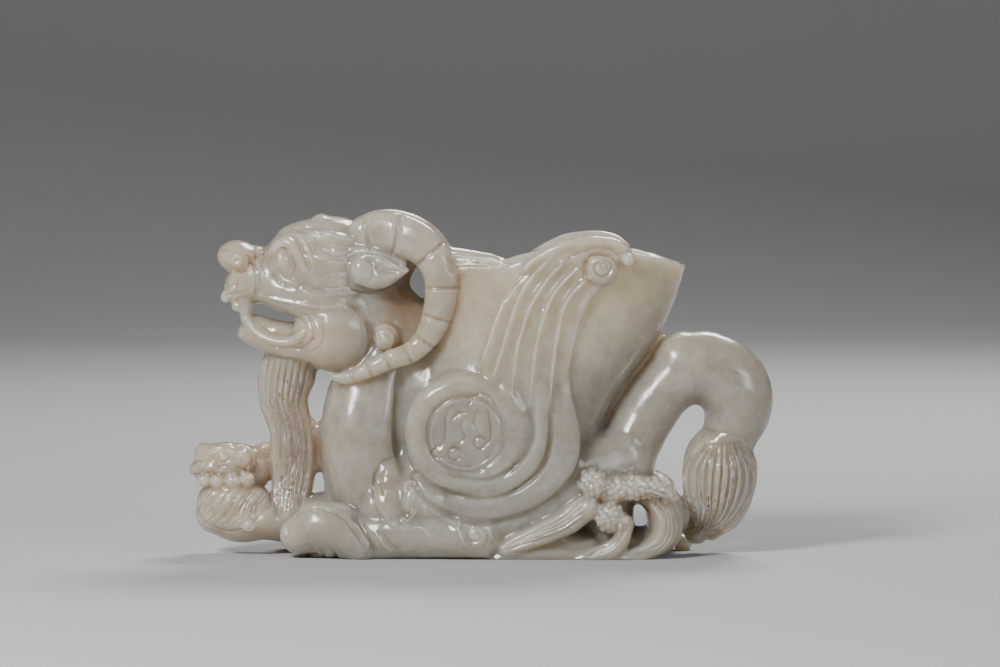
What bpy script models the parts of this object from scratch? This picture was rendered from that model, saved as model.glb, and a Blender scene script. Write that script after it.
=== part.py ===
"""Jade beast vessel: a lying horned beast whose body is an open cup, all one stone."""

import math

import bmesh
import bpy
import numpy as np

for item in list(bpy.data.objects):
    bpy.data.objects.remove(item, do_unlink=True)

# Driving sizes in metres
LENGTH = 0.160
CUP_WALL = 0.0028
CUP_FLOOR_RISE = 0.034
WAVE_HALF_WIDTH = 0.0215
SHOULDER_HALF_WIDTH = 0.0225

# Side drawing: steps across from its left edge and down from its top
DRAWN_LENGTH = 584
DRAWN_MIDDLE = 480
DRAWN_BASE = 554
STEP = LENGTH / DRAWN_LENGTH

# Mesh fineness in metres, and the count the finished solid is thinned to
ROUGH_GRAIN = 0.0009
FINE_GRAIN = 0.00062
TRIANGLES = 9300


def smooth_curve(rows, steps=8):
    """Points on a smooth curve through the rows, which may have any number of columns."""
    rows = np.array(rows, float)
    ends = np.vstack([2 * rows[0] - rows[1], rows, 2 * rows[-1] - rows[-2]])
    points = []
    for i in range(len(rows) - 1):
        a, b, c, d = ends[i : i + 4]
        for k in range(steps):
            t = k / steps
            bend = (2 * a - 5 * b + 4 * c - d) * t**2
            points.append(0.5 * (2 * b + (c - a) * t + bend + (3 * b - a - 3 * c + d) * t**3))
    points.append(rows[-1])
    return np.array(points)


def on_stone(across, down, deep):
    """Positions on the side drawing as places on the carving, in metres."""
    return np.column_stack([across - DRAWN_MIDDLE, deep, DRAWN_BASE - down]) * STEP


def tube_faces(rings, sides, first, last):
    faces = []
    for one, two in zip(rings, rings[1:]):
        for k in range(sides):
            n = (k + 1) % sides
            faces.append((one + k, one + n, two + n, two + k))
    for k in range(sides):
        n = (k + 1) % sides
        faces.append((first, rings[0] + n, rings[0] + k))
        faces.append((last, rings[-1] + k, rings[-1] + n))
    return faces


def sweep(rows, square=2.0, sides=20, steps=6, cap=1.0):
    """A round-ended limb through rows of (across, down, half height, deep, half width)."""
    path = smooth_curve(rows, steps)
    centre = on_stone(path[:, 0], path[:, 1], path[:, 3])
    tall, wide = np.abs(path[:, 2]) * STEP, np.abs(path[:, 4]) * STEP
    along = np.gradient(centre, axis=0)
    along /= np.linalg.norm(along, axis=1)[:, None] + 1e-12
    turn = np.arange(sides) * 2 * np.pi / sides
    c, s = np.cos(turn), np.sin(turn)
    c = np.sign(c) * np.abs(c) ** (2.0 / square)
    s = np.sign(s) * np.abs(s) ** (2.0 / square)
    last = len(path) - 1
    stations = [(0, -math.sin(a), math.cos(a)) for a in (1.3, 0.85, 0.4)]
    stations += [(i, 0.0, 1.0) for i in range(len(path))]
    stations += [(last, math.sin(a), math.cos(a)) for a in (0.4, 0.85, 1.3)]
    verts, rings = [], []
    for i, push, scale in stations:
        side = np.array([0.0, 1.0, 0.0]) - along[i][1] * along[i]
        side /= np.linalg.norm(side)
        up = np.cross(side, along[i])
        middle = centre[i] + along[i] * push * min(tall[i], wide[i]) * cap
        rings.append(len(verts))
        verts.extend(middle + up * a * tall[i] * scale + side * b * wide[i] * scale for a, b in zip(c, s))
    ends = [centre[0] - along[0] * min(tall[0], wide[0]) * cap]
    ends.append(centre[last] + along[last] * min(tall[last], wide[last]) * cap)
    faces = tube_faces(rings, sides, len(verts), len(verts) + 1)
    return np.array(verts + ends), faces


def ball(across, down, rx, rz, deep=0.0, ry=None, turn=0.0, sides=22, rows=13):
    """An egg shape on the side drawing, leaned by turn degrees against the clock."""
    ry = rx if ry is None else ry
    verts = []
    for i in range(1, rows):
        a = math.pi * i / rows
        for k in range(sides):
            b = 2 * math.pi * k / sides
            verts.append((math.sin(a) * math.cos(b) * rx, math.sin(a) * math.sin(b) * ry, math.cos(a) * rz))
    verts += [(0, 0, rz), (0, 0, -rz)]
    rings = [i * sides for i in range(rows - 1)]
    faces = tube_faces(rings, sides, len(verts) - 2, len(verts) - 1)
    v = np.array(verts, float)
    t = math.radians(turn)
    x = v[:, 0] * math.cos(t) - v[:, 2] * math.sin(t)
    z = v[:, 0] * math.sin(t) + v[:, 2] * math.cos(t)
    return on_stone(across + x, down - z, deep + v[:, 1]), faces


def turned(across, down, profile, sides=56):
    """A round boss that faces the near side, from rows of (radius, deep) out from its middle."""
    verts = []
    for radius, deep in profile:
        for k in range(sides):
            b = 2 * math.pi * k / sides
            verts.append((across + radius * math.cos(b), down - radius * math.sin(b), -deep))
    verts += [(across, down, -profile[0][1]), (across, down, -profile[-1][1])]
    rings = [i * sides for i in range(len(profile))]
    v = np.array(verts, float)
    return on_stone(v[:, 0], v[:, 1], v[:, 2]), tube_faces(rings, sides, len(verts) - 2, len(verts) - 1)


def pair(*forms):
    """Each form and its mirror image on the other side."""
    out = []
    for verts, faces in forms:
        out.append((verts, faces))
        out.append((verts * (1, -1, 1), [tuple(reversed(f)) for f in faces]))
    return out


# Cup: down, left end, right end, widest place, half width
CUP_ROWS = (
    (566, 405, 588, 480, 58),
    (520, 396, 592, 482, 72),
    (480, 394, 593, 490, 79),
    (440, 398, 597, 497, 81),
    (410, 404, 609, 507, 80),
    (380, 412, 628, 520, 77),
    (350, 419, 650, 533, 75),
    (320, 424, 667, 543, 74),
    (295, 427, 677, 550, 74),
    (275, 429, 683, 556, 75),
    (262, 430, 686, 560, 76),
    (240, 430, 689, 562, 77),
)
# Rim of the cup: across, down
RIM = ((425, 272), (460, 268), (503, 262), (520, 256), (540, 251), (590, 248), (630, 248), (660, 254),
       (690, 264))


def cup_section(left, right, middle, half, sides=64):
    """An oval drawn out to a rounded lip at the right."""
    turn = np.arange(sides) * 2 * np.pi / sides
    c, s = np.cos(turn), np.sin(turn)
    reach = np.where(c >= 0, right - middle, middle - left)
    fall = np.where(c >= 0, (1 - np.abs(c) ** 2.3) ** 0.62, (1 - np.abs(c) ** 2.3) ** 0.46)
    return middle + c * reach, np.sign(s) * half * fall


def cup_form(rows, rim=None, sides=64):
    verts, rings = [], []
    for down, left, right, middle, half in rows:
        x, y = cup_section(left, right, middle, half, sides)
        level = np.full(sides, float(down))
        if rim is not None:
            level = np.maximum(level, np.interp(x, [p[0] for p in rim], [p[1] for p in rim]))
        rings.append(len(verts))
        verts.extend(on_stone(x, level, y))
    low, high = np.mean(verts[:sides], axis=0), np.mean(verts[-sides:], axis=0)
    return np.array(verts + [low, high]), tube_faces(rings, sides, len(verts), len(verts) + 1)


def cup_half(across, down):
    """Half width of the cup at a place on the side drawing."""
    table = np.array(sorted(CUP_ROWS))
    left, right, middle, half = (np.interp(down, table[:, 0], table[:, k]) for k in (1, 2, 3, 4))
    if across >= middle:
        c = min(1.0, (across - middle) / (right - middle))
        return half * (1 - c**2.3) ** 0.62
    c = min(1.0, (middle - across) / (middle - left))
    return half * (1 - c**2.3) ** 0.46


def on_cup(rows, lift, wide):
    """Rows of (across, down, half height, own lift) laid on the cup's near side."""
    return [(a, d, h, -(cup_half(a, d) + lift + sum(more)), wide) for a, d, h, *more in rows]


SHOULDER = SHOULDER_HALF_WIDTH / STEP
WAVE = WAVE_HALF_WIDTH / STEP


def body_forms():
    forms = [cup_form(CUP_ROWS, RIM)]
    # chest, neck and the stone under them
    forms.append(sweep([(379, 335, 36, 0, 34), (376, 376, 41, 0, 48), (369, 408, 45, 0, 58),
                        (365, 443, 45, 0, 63),
                        (370, 475, 44, 0, 63), (377, 502, 43, 0, 60), (380, 540, 40, 0, 56)], square=2.6))
    forms.append(sweep([(345, 262, 40, 0, 34), (362, 300, 42, 0, 34), (385, 330, 46, 0, 34)]))
    forms.append(sweep([(392, 252, 34, 0, 26), (390, 277, 21, 0, 28), (390, 292, 20, 0, 28),
                        (404, 322, 30, 0, 28),
                        (412, 345, 36, 0, 34)]))
    forms.append(sweep([(395, 345, 40, 0, 34), (430, 390, 50, 0, 52), (450, 440, 60, 0, 66)]))
    forms.append(ball(400, 485, 50, 48, 0, 66))
    forms += pair(ball(422, 500, 40, 32, -52, 27), ball(392, 506, 36, 32, -50, 25))
    forms.append(ball(440, 505, 60, 40, 0, 72))
    forms.append(sweep([(318, 546, 16, 0, 56), (400, 542, 26, 0, 64), (500, 542, 26, 0, 66),
                        (590, 548, 20, 0, 66)], square=3.0))
    # haunch and tail
    forms.append(sweep([(550, 475, 46, 0, 68), (590, 470, 38, 0, 60), (625, 458, 32, 0, 44)], square=2.8))
    forms.append(ball(545, 508, 52, 38, 0, 70))
    forms.append(sweep([(470, 500, 30, 0, 66), (530, 500, 30, 0, 66), (575, 488, 32, 0, 64),
                        (600, 472, 30, 0, 58)],
                       square=3.2))
    forms.append(sweep([(612, 480, 34, 0, 42), (628, 448, 31, 0, 36), (645, 415, 31, 0, 33),
                        (667, 386, 31, 0, 32), (697, 368, 37, 0, 34), (726, 378, 38, 0, 35),
                        (738, 405, 36, 0, 35), (730, 436, 28, 0, 32)]))
    forms.append(ball(681, 361, 29, 30, 0, 31))
    return forms


def head_forms():
    forms = [
        ball(334, 264, 48, 48, 0, 48),
        sweep([(335, 270, 50, 0, 48), (300, 269, 44, 0, 45), (272, 277, 29, 0, 38),
               (248, 281, 22, 0, 28)], square=2.6),
        sweep([(335, 335, 42, 0, 44), (305, 348, 20, 0, 40), (275, 344, 13, 0, 32),
               (247, 332, 10, 0, 23)], square=2.4),
        ball(239, 257, 22, 17, 0, 29, turn=-8),
        sweep([(238, 272, 9, 0, 24), (233, 288, 9, 0, 23), (238, 302, 6, 0, 18)]),
        sweep([(255, 326, 12, 0, 19), (276, 334, 14, 0, 27), (300, 338, 15, 0, 36)], square=2.8),
        ball(298, 246, 25, 23, 0, 38, turn=4),
        ball(241, 294, 13, 12, 0, 24),
        sweep([(300, 231, 10, 0, 26), (328, 226, 10, 0, 24), (350, 229, 9, 0, 20)]),
        ball(322, 221, 10, 7, 0, 20, turn=-10),
        ball(342, 223, 10, 6, 0, 18, turn=-10),
        ball(345, 320, 46, 50, 0, 42),
    ]
    forms += pair(
        ball(334, 332, 41, 39, -25, 28),
        # side of the muzzle
        sweep([(262, 285, 17, -16, 17), (286, 289, 22, -22, 20), (316, 297, 26, -26, 22),
               (340, 312, 30, -24, 22)]),
        ball(239, 259, 9, 9, -21, 9),
        ball(284, 259, 8, 12, -36, 10, turn=18),
        sweep([(273, 250, 4, -31, 6), (282, 242, 5, -36, 8), (292, 242, 6, -39, 9), (300, 253, 6, -42, 8),
               (306, 268, 5, -43, 7)]),
        sweep([(276, 268, 3.5, -34, 5), (284, 277, 4, -37, 6), (297, 282, 4, -41, 6)]),
        sweep([(248, 319, 4, -17, 7), (256, 330, 4.5, -24, 7), (268, 337, 4.5, -29, 7),
               (283, 340, 4.5, -34, 7), (297, 338, 4.5, -38, 7), (307, 330, 4, -41, 6),
               (314, 319, 3, -42, 4)]),
        sweep([(247, 302, 6, -15, 8), (246, 318, 5, -15, 7)]),
        ball(226, 296, 5, 6, -14, 7),
        ball(238, 305, 6, 6, -15, 6),
        ball(386, 336, 14, 14, -36, 15),
    )
    forms += [ball(258, 250, 6, 5, 0, 18), ball(267, 252, 6, 5, 0, 18)]
    # hair swept back from the brow
    forms += pair(
        sweep([(300, 240, 8, -30, 8), (325, 236, 7, -35, 8), (350, 240, 6, -36, 7)]),
        sweep([(310, 257, 6, -40, 8), (328, 258, 6, -42, 7), (348, 261, 5, -41, 6)]),
    )
    # ear, horn and the mane lock on the front of the cup
    forms += pair(
        sweep([(358, 252, 10, -34, 13), (380, 255, 9, -40, 13), (404, 263, 4, -47, 7)]),
        ball(362, 269, 11, 15, -44, 11),
        sweep([(368, 272, 14, -45, 9), (381, 272, 15, -48, 9), (395, 270, 10, -51, 8),
               (408, 268, 3, -54, 4)]),
        sweep(HORN_ROWS, square=2.5),
        sweep([(442, 260, 13, -44, 11), (465, 262, 11, -54, 9), (488, 262, 7, -64, 7),
               (503, 262, 2, -70, 3)]),
    )
    return forms


# Horn: across, down, half height, deep, half width
HORN_ROWS = (
    (364, 234, 18, -28, 15),
    (381, 231, 21, -34, 16),
    (401, 233, 21, -42, 17),
    (422, 243, 20, -49, 16),
    (437, 261, 18, -53, 15),
    (442, 285, 17, -53, 14),
    (437, 315, 14.5, -53, 13),
    (425, 338, 12, -53, 12),
    (408, 351, 10.5, -53, 11),
    (388, 358, 9.5, -53, 10),
    (366, 368, 8, -52, 9),
    (346, 375, 6, -48, 7),
    (334, 374, 4, -46, 5),
)


# Joints of the horn, counted along its rows
HORN_JOINTS = (0.2, 1.85, 3.5, 5.0, 6.0, 7.0, 8.05, 9.0, 9.8, 10.6)


def beard_forms():
    forms = [
        sweep([(300, 345, 24, 0, 26), (288, 372, 29, 0, 27), (284, 400, 25, 0, 25), (290, 426, 22, 0, 24),
               (293, 452, 24, 0, 25), (293, 478, 22, 0, 29), (289, 503, 19, 0, 36), (289, 522, 18, 0, 40)],
              cap=0.8),
        sweep([(312, 421, 3, 0, 7), (318, 430, 7, 0, 9), (319, 450, 8, 0, 10), (316, 468, 6, 0, 10)]),
        sweep([(326, 466, 5, 0, 16), (332, 484, 9, 0, 24), (336, 502, 14, 0, 34)]),
        sweep([(296, 506, 10, 0, 34), (322, 506, 12, 0, 36)]),
    ]
    # cub and the wave that carries it
    forms += [
        sweep([(211, 461, 17, 0, 24), (227, 461, 19, 0, 27), (242, 461, 17, 0, 25)], square=2.6),
        ball(204, 455, 10, 12, 0, 20),
        ball(198, 469, 10, 7, 0, 15),
        ball(205, 474, 12, 7, 0, 18),
        ball(233, 502, 37, 27, 0, 36),
        sweep([(216, 514, 21, 0, 30), (240, 518, 25, 0, 37), (266, 519, 22, 0, 36), (292, 524, 20, 0, 30)]),
        ball(258, 468, 14, 22, 8, 20),
        ball(264, 447, 5, 5, 8, 10),
        sweep([(206, 480, 6, 0, 24), (228, 481, 7, 0, 28), (252, 479, 6, 0, 26)]),
    ]
    forms += pair(
        ball(243, 457, 9, 10, -20, 9, turn=-25),
        ball(250, 523, 9, 8, -34, 9),
        ball(224, 455, 6, 5, -23, 6),
        ball(216, 449, 8, 4, -20, 6, turn=10),
        ball(204, 479, 7, 7, -20, 8),
        ball(218, 480, 7, 7, -24, 8),
        ball(233, 479, 8, 8, -25, 9),
        ball(248, 478, 8, 8, -24, 9),
        ball(252, 499, 18, 14, -16, 16),
    )
    return forms


def limb_forms():
    forms = pair(
        # paw and forearm
        sweep([(301, 531, 20, -48, 24), (320, 524, 28, -52, 27), (342, 528, 27, -54, 27),
               (362, 540, 20, -57, 24)]),
        sweep([(372, 532, 24, -56, 22), (410, 529, 25, -58, 24), (450, 531, 22, -62, 22),
               (482, 533, 21, -64, 20)]),
        ball(478, 530, 15, 14, -76, 12),
    )
    # shoulder coil and the bands that run from it into the wing
    coil = (466, 429)
    top = SHOULDER
    forms += pair(
        turned(*coil, [(24, top - 1.6), (33, top - 1.8), (37, top - 3), (40, top - 1.6),
                       (44, top - 0.4), (48, top),
                       (52, top - 0.8), (56, top - 3), (59, top - 8), (61, top - 14), (62, top - 28)]),
        sweep([(486, 463, 8, 12 - top, 12), (502, 453, 11, 12 - top, 12), (514, 438, 14, 12 - top, 12),
               (518, 420, 15, 12 - top, 12), (514, 400, 13, 12 - top, 12), (504, 385, 10, 12 - top, 12)]),
        sweep([(424, 456, 7, -66, 9), (436, 469, 9, -67, 9), (455, 478, 11, -68, 9),
               (477, 481, 11, -68, 10),
               (498, 479, 11, -69, 10), (516, 470, 11, -70, 10), (531, 454, 11, -71, 10),
               (539, 431, 10, -73, 10),
               (541, 402, 9, -74, 9), (541, 376, 8, -73, 8)], square=2.8),
        sweep([(420, 476, 8, -62, 9), (440, 491, 11, -62, 10), (460, 498, 14, -63, 10),
               (481, 500, 15, -64, 10),
               (502, 499, 16, -65, 10), (523, 491, 16, -66, 10), (543, 477, 16, -67, 10),
               (559, 457, 17, -68, 10),
               (563, 432, 17, -69, 10), (561, 408, 14, -70, 9), (559, 384, 11, -70, 8),
               (560, 356, 9, -69, 6)],
              square=2.8),
    )
    return forms


# Ridges of the wing from its top down to the coil
WING_RIDGES = (
    ((536, 254), (520, 270), (508, 288), (499, 310), (490, 335), (484, 352), (478, 366)),
    ((552, 252), (535, 270), (524, 284), (515, 303), (508, 325), (501, 348), (493, 372)),
    ((566, 256), (550, 272), (538, 289), (529, 305), (522, 326), (516, 348), (512, 386)),
    ((578, 264), (561, 280), (549, 298), (542, 317), (536, 340), (533, 362), (529, 402)),
    ((588, 274), (573, 288), (563, 303), (558, 324), (554, 347), (551, 374), (549, 404)),
)


def wing_forms():
    slab = ((578, 262, 30, 0), (558, 284, 35, 0), (544, 305, 39, 0), (534, 330, 41, 0), (527, 354, 43, -1),
            (523, 376, 42, -4), (521, 398, 38, -9))
    return pair(
        sweep(on_cup(slab, 0, 7), square=3.6, sides=32),
        # scroll over the rim
        sweep(on_cup(((544, 264, 11), (566, 254, 14), (592, 250, 15), (611, 256, 12)), 0, 9)),
        ball(599, 266, 19, 19, -76, 13),
        ball(626, 256, 7, 7, -80, 9),
        sweep(on_cup(((526, 264, 4), (542, 253, 5), (560, 244, 5), (578, 239, 5), (596, 238, 5),
                      (614, 241, 5),
                      (626, 249, 5)), 4, 7)),
    )


def wave_forms():
    forms = [
        # great curling wave across the whole back
        sweep([(628, 486, 12, 0, WAVE - 12), (648, 490, 16, 0, WAVE - 6), (663, 504, 19, 0, WAVE - 2),
               (665, 526, 18, 0, WAVE), (654, 542, 15, 0, WAVE), (630, 552, 12, 0, WAVE),
               (598, 554, 10, 0, WAVE - 4)], square=2.8),
        sweep([(600, 470, 22, 0, 56), (622, 482, 20, 0, 56), (642, 490, 15, 0, 56)]),
        sweep([(596, 500, 22, 0, 56), (602, 520, 26, 0, 56), (606, 545, 26, 0, 56)]),
        sweep([(622, 494, 13, 0, 54), (621, 520, 13, 0, 52), (626, 542, 14, 0, 56)]),
        sweep([(626, 540, 12, 0, 58), (650, 538, 11, 0, 60)]),
        # tuft at the tail's end
        sweep([(730, 428, 20, 0, 26), (722, 455, 36, 0, 38), (719, 485, 37, 0, 42), (712, 512, 29, 0, 36),
               (697, 532, 13, 0, 24)]),
        sweep([(747, 462, 8, 4, 26), (746, 490, 9, 6, 28), (734, 516, 10, 6, 24), (713, 536, 6, 4, 16)]),
        ball(684, 547, 10, 9, 42, 14),
        ball(684, 515, 14, 18, 0, 28),
    ]
    forms += pair(
        # foam heads and their stems
        sweep([(505, 543, 8, -66, 12), (534, 531, 11, -68, 13), (562, 519, 13, -68, 13),
               (586, 503, 13, -68, 13)]),
        ball(593, 480, 14, 14, -67, 14),
        sweep([(608, 486, 14, -62, 14), (632, 483, 13, -64, 15), (653, 485, 12, -68, 14),
               (668, 491, 9, -72, 12)]),
        sweep([(582, 553, 10, -64, 14), (604, 548, 10, -67, 13), (619, 536, 9, -69, 12),
               (624, 518, 9, -69, 12)]),
        ball(609, 512, 16, 15, -67, 15),
        sweep([(500, 560, 16, -60, 16), (540, 558, 16, -60, 16), (580, 558, 14, -60, 16)]),
    )
    return forms


def mesh_object(name, forms):
    verts, faces, base = [], [], 0
    for form_verts, form_faces in forms:
        verts.append(form_verts)
        faces.extend(tuple(i + base for i in f) for f in form_faces)
        base += len(form_verts)
    mesh = bpy.data.meshes.new(name)
    mesh.from_pydata(np.vstack(verts).tolist(), [], faces)
    mesh.validate()
    ob = bpy.data.objects.new(name, mesh)
    bpy.context.scene.collection.objects.link(ob)
    return ob


def settle(ob):
    """Turn the modifiers of an object into its own mesh."""
    graph = bpy.context.evaluated_depsgraph_get()
    mesh = bpy.data.meshes.new_from_object(ob.evaluated_get(graph), depsgraph=graph)
    old = ob.data
    ob.modifiers.clear()
    ob.data = mesh
    bpy.data.meshes.remove(old)


def fuse(ob, grain, smoothing):
    """Run all the overlapping forms of an object into one skin."""
    skin = ob.modifiers.new("skin", "REMESH")
    skin.mode = "VOXEL"
    skin.voxel_size = grain
    skin.adaptivity = 0.0
    if smoothing:
        soft = ob.modifiers.new("soft", "SMOOTH")
        soft.factor = 0.5
        soft.iterations = smoothing
    settle(ob)


def join_forms(ob, forms):
    extra = mesh_object("extra", forms)
    bm = bmesh.new()
    bm.from_mesh(ob.data)
    bm.from_mesh(extra.data)
    bm.to_mesh(ob.data)
    bm.free()
    bpy.data.objects.remove(extra, do_unlink=True)


def mesh_arrays(mesh):
    count = len(mesh.vertices)
    places, normals = np.empty(count * 3), np.empty(count * 3)
    mesh.vertices.foreach_get("co", places)
    mesh.vertices.foreach_get("normal", normals)
    return places.reshape(-1, 3), normals.reshape(-1, 3)


def engrave(ob, lines, edge=2.0):
    """Cut grooves along lines of (points, half breadth, depth, inner limit of depth).

    A third number at a point is the half breadth there. A depth below nothing raises a ridge.
    """
    places, normals = mesh_arrays(ob.data)
    across = places[:, 0] / STEP + DRAWN_MIDDLE
    down = DRAWN_BASE - places[:, 2] / STEP
    deep = np.abs(places[:, 1]) / STEP
    cut = np.zeros(len(places))
    for points, breadth, depth, inner in lines:
        path = smooth_curve([(*p[:2], p[2] if len(p) > 2 else breadth) for p in points], 5)
        reach = path[:, 2].max()
        low, high = path[:, :2].min(axis=0) - reach, path[:, :2].max(axis=0) + reach
        inside = (across > low[0]) & (across < high[0]) & (down > low[1]) & (down < high[1])
        near = np.where(inside & (deep > inner))[0]
        if not len(near):
            continue
        x, z = across[near], down[near]
        best = np.full(len(near), 1e9)
        fade = np.ones(len(near))
        total = len(path) - 1
        for k in range(total):
            ax, az, wide = path[k]
            bx, bz, more = path[k + 1] - path[k]
            t = np.clip(((x - ax) * bx + (z - az) * bz) / (bx * bx + bz * bz + 1e-12), 0, 1)
            d = np.hypot(x - ax - t * bx, z - az - t * bz) / (wide + t * more)
            closer = d < best
            best = np.where(closer, d, best)
            place = (k + t) / total
            fade = np.where(closer, np.minimum(1.0, np.minimum(place, 1 - place) * 6 + 0.35), fade)
        amount = depth * fade * np.clip(1 - best**2, 0, 1) ** edge
        cut[near] = np.where(np.abs(amount) > np.abs(cut[near]), amount, cut[near])
    facing = np.clip(normals[:, 1] * np.sign(places[:, 1]) * 2.5, 0, 1)
    places -= normals * (cut * facing * STEP)[:, None]
    ob.data.vertices.foreach_set("co", places.ravel())
    ob.data.update()


def between(left, right, count):
    """Lines spaced evenly between two side lines."""
    left, right = np.array(left, float), np.array(right, float)
    return [left + (right - left) * (k + 1) / (count + 1) for k in range(count)]


def flutes():
    """Hollows between the ridges of the wing, each as broad as the gap it fills."""
    lines = []
    edge = ((594, 286), (583, 300), (575, 322), (571, 345), (568, 370), (566, 404))
    ridges = [smooth_curve(line, 6) for line in (*WING_RIDGES, edge)]
    for one, two in zip(ridges, ridges[1:]):
        spread = np.linspace(0, 1, 9)
        a = np.column_stack([np.interp(spread * (len(one) - 1), range(len(one)), one[:, k]) for k in (0, 1)])
        b = np.column_stack([np.interp(spread * (len(two) - 1), range(len(two)), two[:, k]) for k in (0, 1)])
        gap = np.hypot(*(a - b).T) / 2 * 0.94
        lines.append((np.column_stack([(a + b) / 2, gap]), 8, 4.0, 55))
    return lines


def leaves():
    """Low flat-topped leaves of hair on the foreleg."""
    return [
        (((393, 461, 5), (388, 474, 11), (387, 490, 13), (390, 505, 11), (395, 516, 6)), 10, -3.6, 45),
        (((417, 482, 2), (411, 488, 5), (409, 498, 6), (413, 508, 3)), 5, -2.4, 45),
    ]


def carved_lines():
    lines = []
    beard_left = ((261, 356), (258, 378), (260, 400), (270, 425), (271, 450), (273, 478), (273, 515))
    beard_right = ((315, 366), (311, 385), (306, 403), (311, 425), (313, 450), (310, 478), (302, 508))
    lines += [(line, 3.2, 3.6, 0) for line in between(beard_left, beard_right, 7)]
    tuft_left = ((700, 444), (681, 464), (681, 490), (688, 514), (682, 538))
    tuft_right = ((742, 440), (760, 470), (755, 497), (739, 520), (710, 542))
    lines += [(line, 3.6, 4.2, 0) for line in between(tuft_left, tuft_right, 9)]
    for k in range(3):
        lines.append((((448, 256 + 5 * k), (475, 258 + 3.5 * k), (500, 262)), 2.6, 2.4, 30))
    wave_outer = ((640, 476), (662, 482), (677, 498), (684, 518), (681, 536), (669, 550), (645, 558))
    wave_inner = ((632, 502), (645, 500), (655, 507), (659, 518), (658, 528), (651, 538), (632, 545))
    lines += [(line, 3.2, 2.6, 20) for line in between(wave_outer, wave_inner, 4)]
    # valleys between head, neck and body
    lines.append((((402, 372), (399, 400), (399, 440), (405, 472)), 7, 6, 30))
    lines.append((((350, 301), (364, 312), (372, 328), (372, 344), (362, 358), (350, 368)), 5, 4, 15))
    lines.append((((252, 257), (259, 270), (260, 284), (256, 295)), 4, 3, 15))
    # round the coil and between its bands
    turns = np.arange(27) / 4
    lines.append((np.column_stack([466 + 38 * np.cos(turns), 429 - 38 * np.sin(turns)]), 2.6, 1.3, 60))
    lines.append((((444, 468), (465, 471), (484, 474), (503, 469), (522, 453), (532, 428),
                   (529, 402)), 4, 3.2, 55))
    lines.append((((436, 482), (452, 489), (470, 492), (489, 493), (511, 487), (532, 473), (545, 455),
                   (550, 433),
                   (551, 400)), 4, 3.2, 50))
    # scroll at the top of the wing
    lines.append((np.column_stack([599 + 17 * np.cos(turns), 266 - 17 * np.sin(turns)]), 3.0, 2.2, 60))
    # toes, wrist and the locks on the foreleg
    lines.append((((323, 560), (325, 552), (322, 544)), 3, 2.4, 40))
    lines.append((((336, 560), (337, 552), (334, 544)), 3, 2.4, 40))
    lines.append((((352, 508), (362, 518), (370, 532), (378, 548)), 4.5, 3.5, 45))
    lines.append((((410, 470), (420, 486), (436, 501), (456, 511), (480, 516), (506, 515),
                   (530, 507)), 5, 3.5, 50))
    # joints of the horn
    path = smooth_curve(HORN_ROWS, 10)
    for place in HORN_JOINTS:
        x, z, tall = path[int(place * 10)][:3]
        dx, dz = (path[int(place * 10) + 1] - path[int(place * 10) - 1])[:2]
        size = math.hypot(dx, dz)
        ax, az = -dz / size * tall, dx / size * tall
        lines.append((((x + ax, z + az), (x, z), (x - ax, z - az)), 3.0, 2.6, 20))
    # hollow of the ear
    lines.append((((376, 262, 4), (384, 268, 7), (400, 269, 3)), 6, 3.6, 40))
    lines.append((((374, 257), (375, 268), (369, 281)), 3, 1.5, 40))
    lines.append((((261, 256), (268, 266), (278, 277)), 9, 2.6, 15))
    return lines


def hollow_rows_of_cup():
    """Inside of the cup, a wall's thickness within the outer form, with a rounded floor."""
    wall = CUP_WALL / STEP
    floor_down = DRAWN_BASE - CUP_FLOOR_RISE / STEP
    upper = [(down, left + wall * 1.4, right - wall * 1.6, middle, half - wall)
             for down, left, right, middle, half in CUP_ROWS if down < floor_down - 4 * wall]
    down, left, right, middle, half = upper[0]
    rows = []
    for turn in (90, 67, 45, 22):
        shrink = 0.4 + 0.6 * math.cos(math.radians(turn))
        level = down + (floor_down - down) * math.sin(math.radians(turn))
        rows.append((level, middle - (middle - left) * shrink, middle + (right - middle) * shrink,
                     middle, half * shrink))
    return rows + upper + [(200,) + upper[-1][1:]]


stone = mesh_object("jade_beast", body_forms())
fuse(stone, ROUGH_GRAIN, 6)
join_forms(stone, head_forms() + beard_forms() + limb_forms() + wing_forms() + wave_forms())
fuse(stone, FINE_GRAIN, 3)
engrave(stone, flutes(), 1.0)
engrave(stone, leaves(), 0.8)
engrave(stone, carved_lines())

hollow = mesh_object("cup_hollow", [cup_form(hollow_rows_of_cup())])
hollow.hide_render = True
hollow.display_type = "WIRE"
cut = stone.modifiers.new("hollow", "BOOLEAN")
cut.operation = "DIFFERENCE"
cut.solver = "EXACT"
cut.object = hollow
settle(stone)

thin = stone.modifiers.new("thin", "DECIMATE")
thin.ratio = min(1.0, TRIANGLES / sum(len(p.vertices) - 2 for p in stone.data.polygons))
thin.use_collapse_triangulate = True
settle(stone)

# Flat underside
bm = bmesh.new()
bmesh.ops.create_cube(bm, size=1.0)
for v in bm.verts:
    v.co.x *= LENGTH * 1.5
    v.co.y *= LENGTH
    v.co.z = v.co.z * 0.03 - 0.015
ground = bpy.data.objects.new("ground_slab", bpy.data.meshes.new("ground_slab"))
bm.to_mesh(ground.data)
bm.free()
bpy.context.scene.collection.objects.link(ground)
ground.hide_render = True
ground.display_type = "WIRE"
level = stone.modifiers.new("level", "BOOLEAN")
level.operation = "DIFFERENCE"
level.solver = "EXACT"
level.object = ground
settle(stone)

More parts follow.
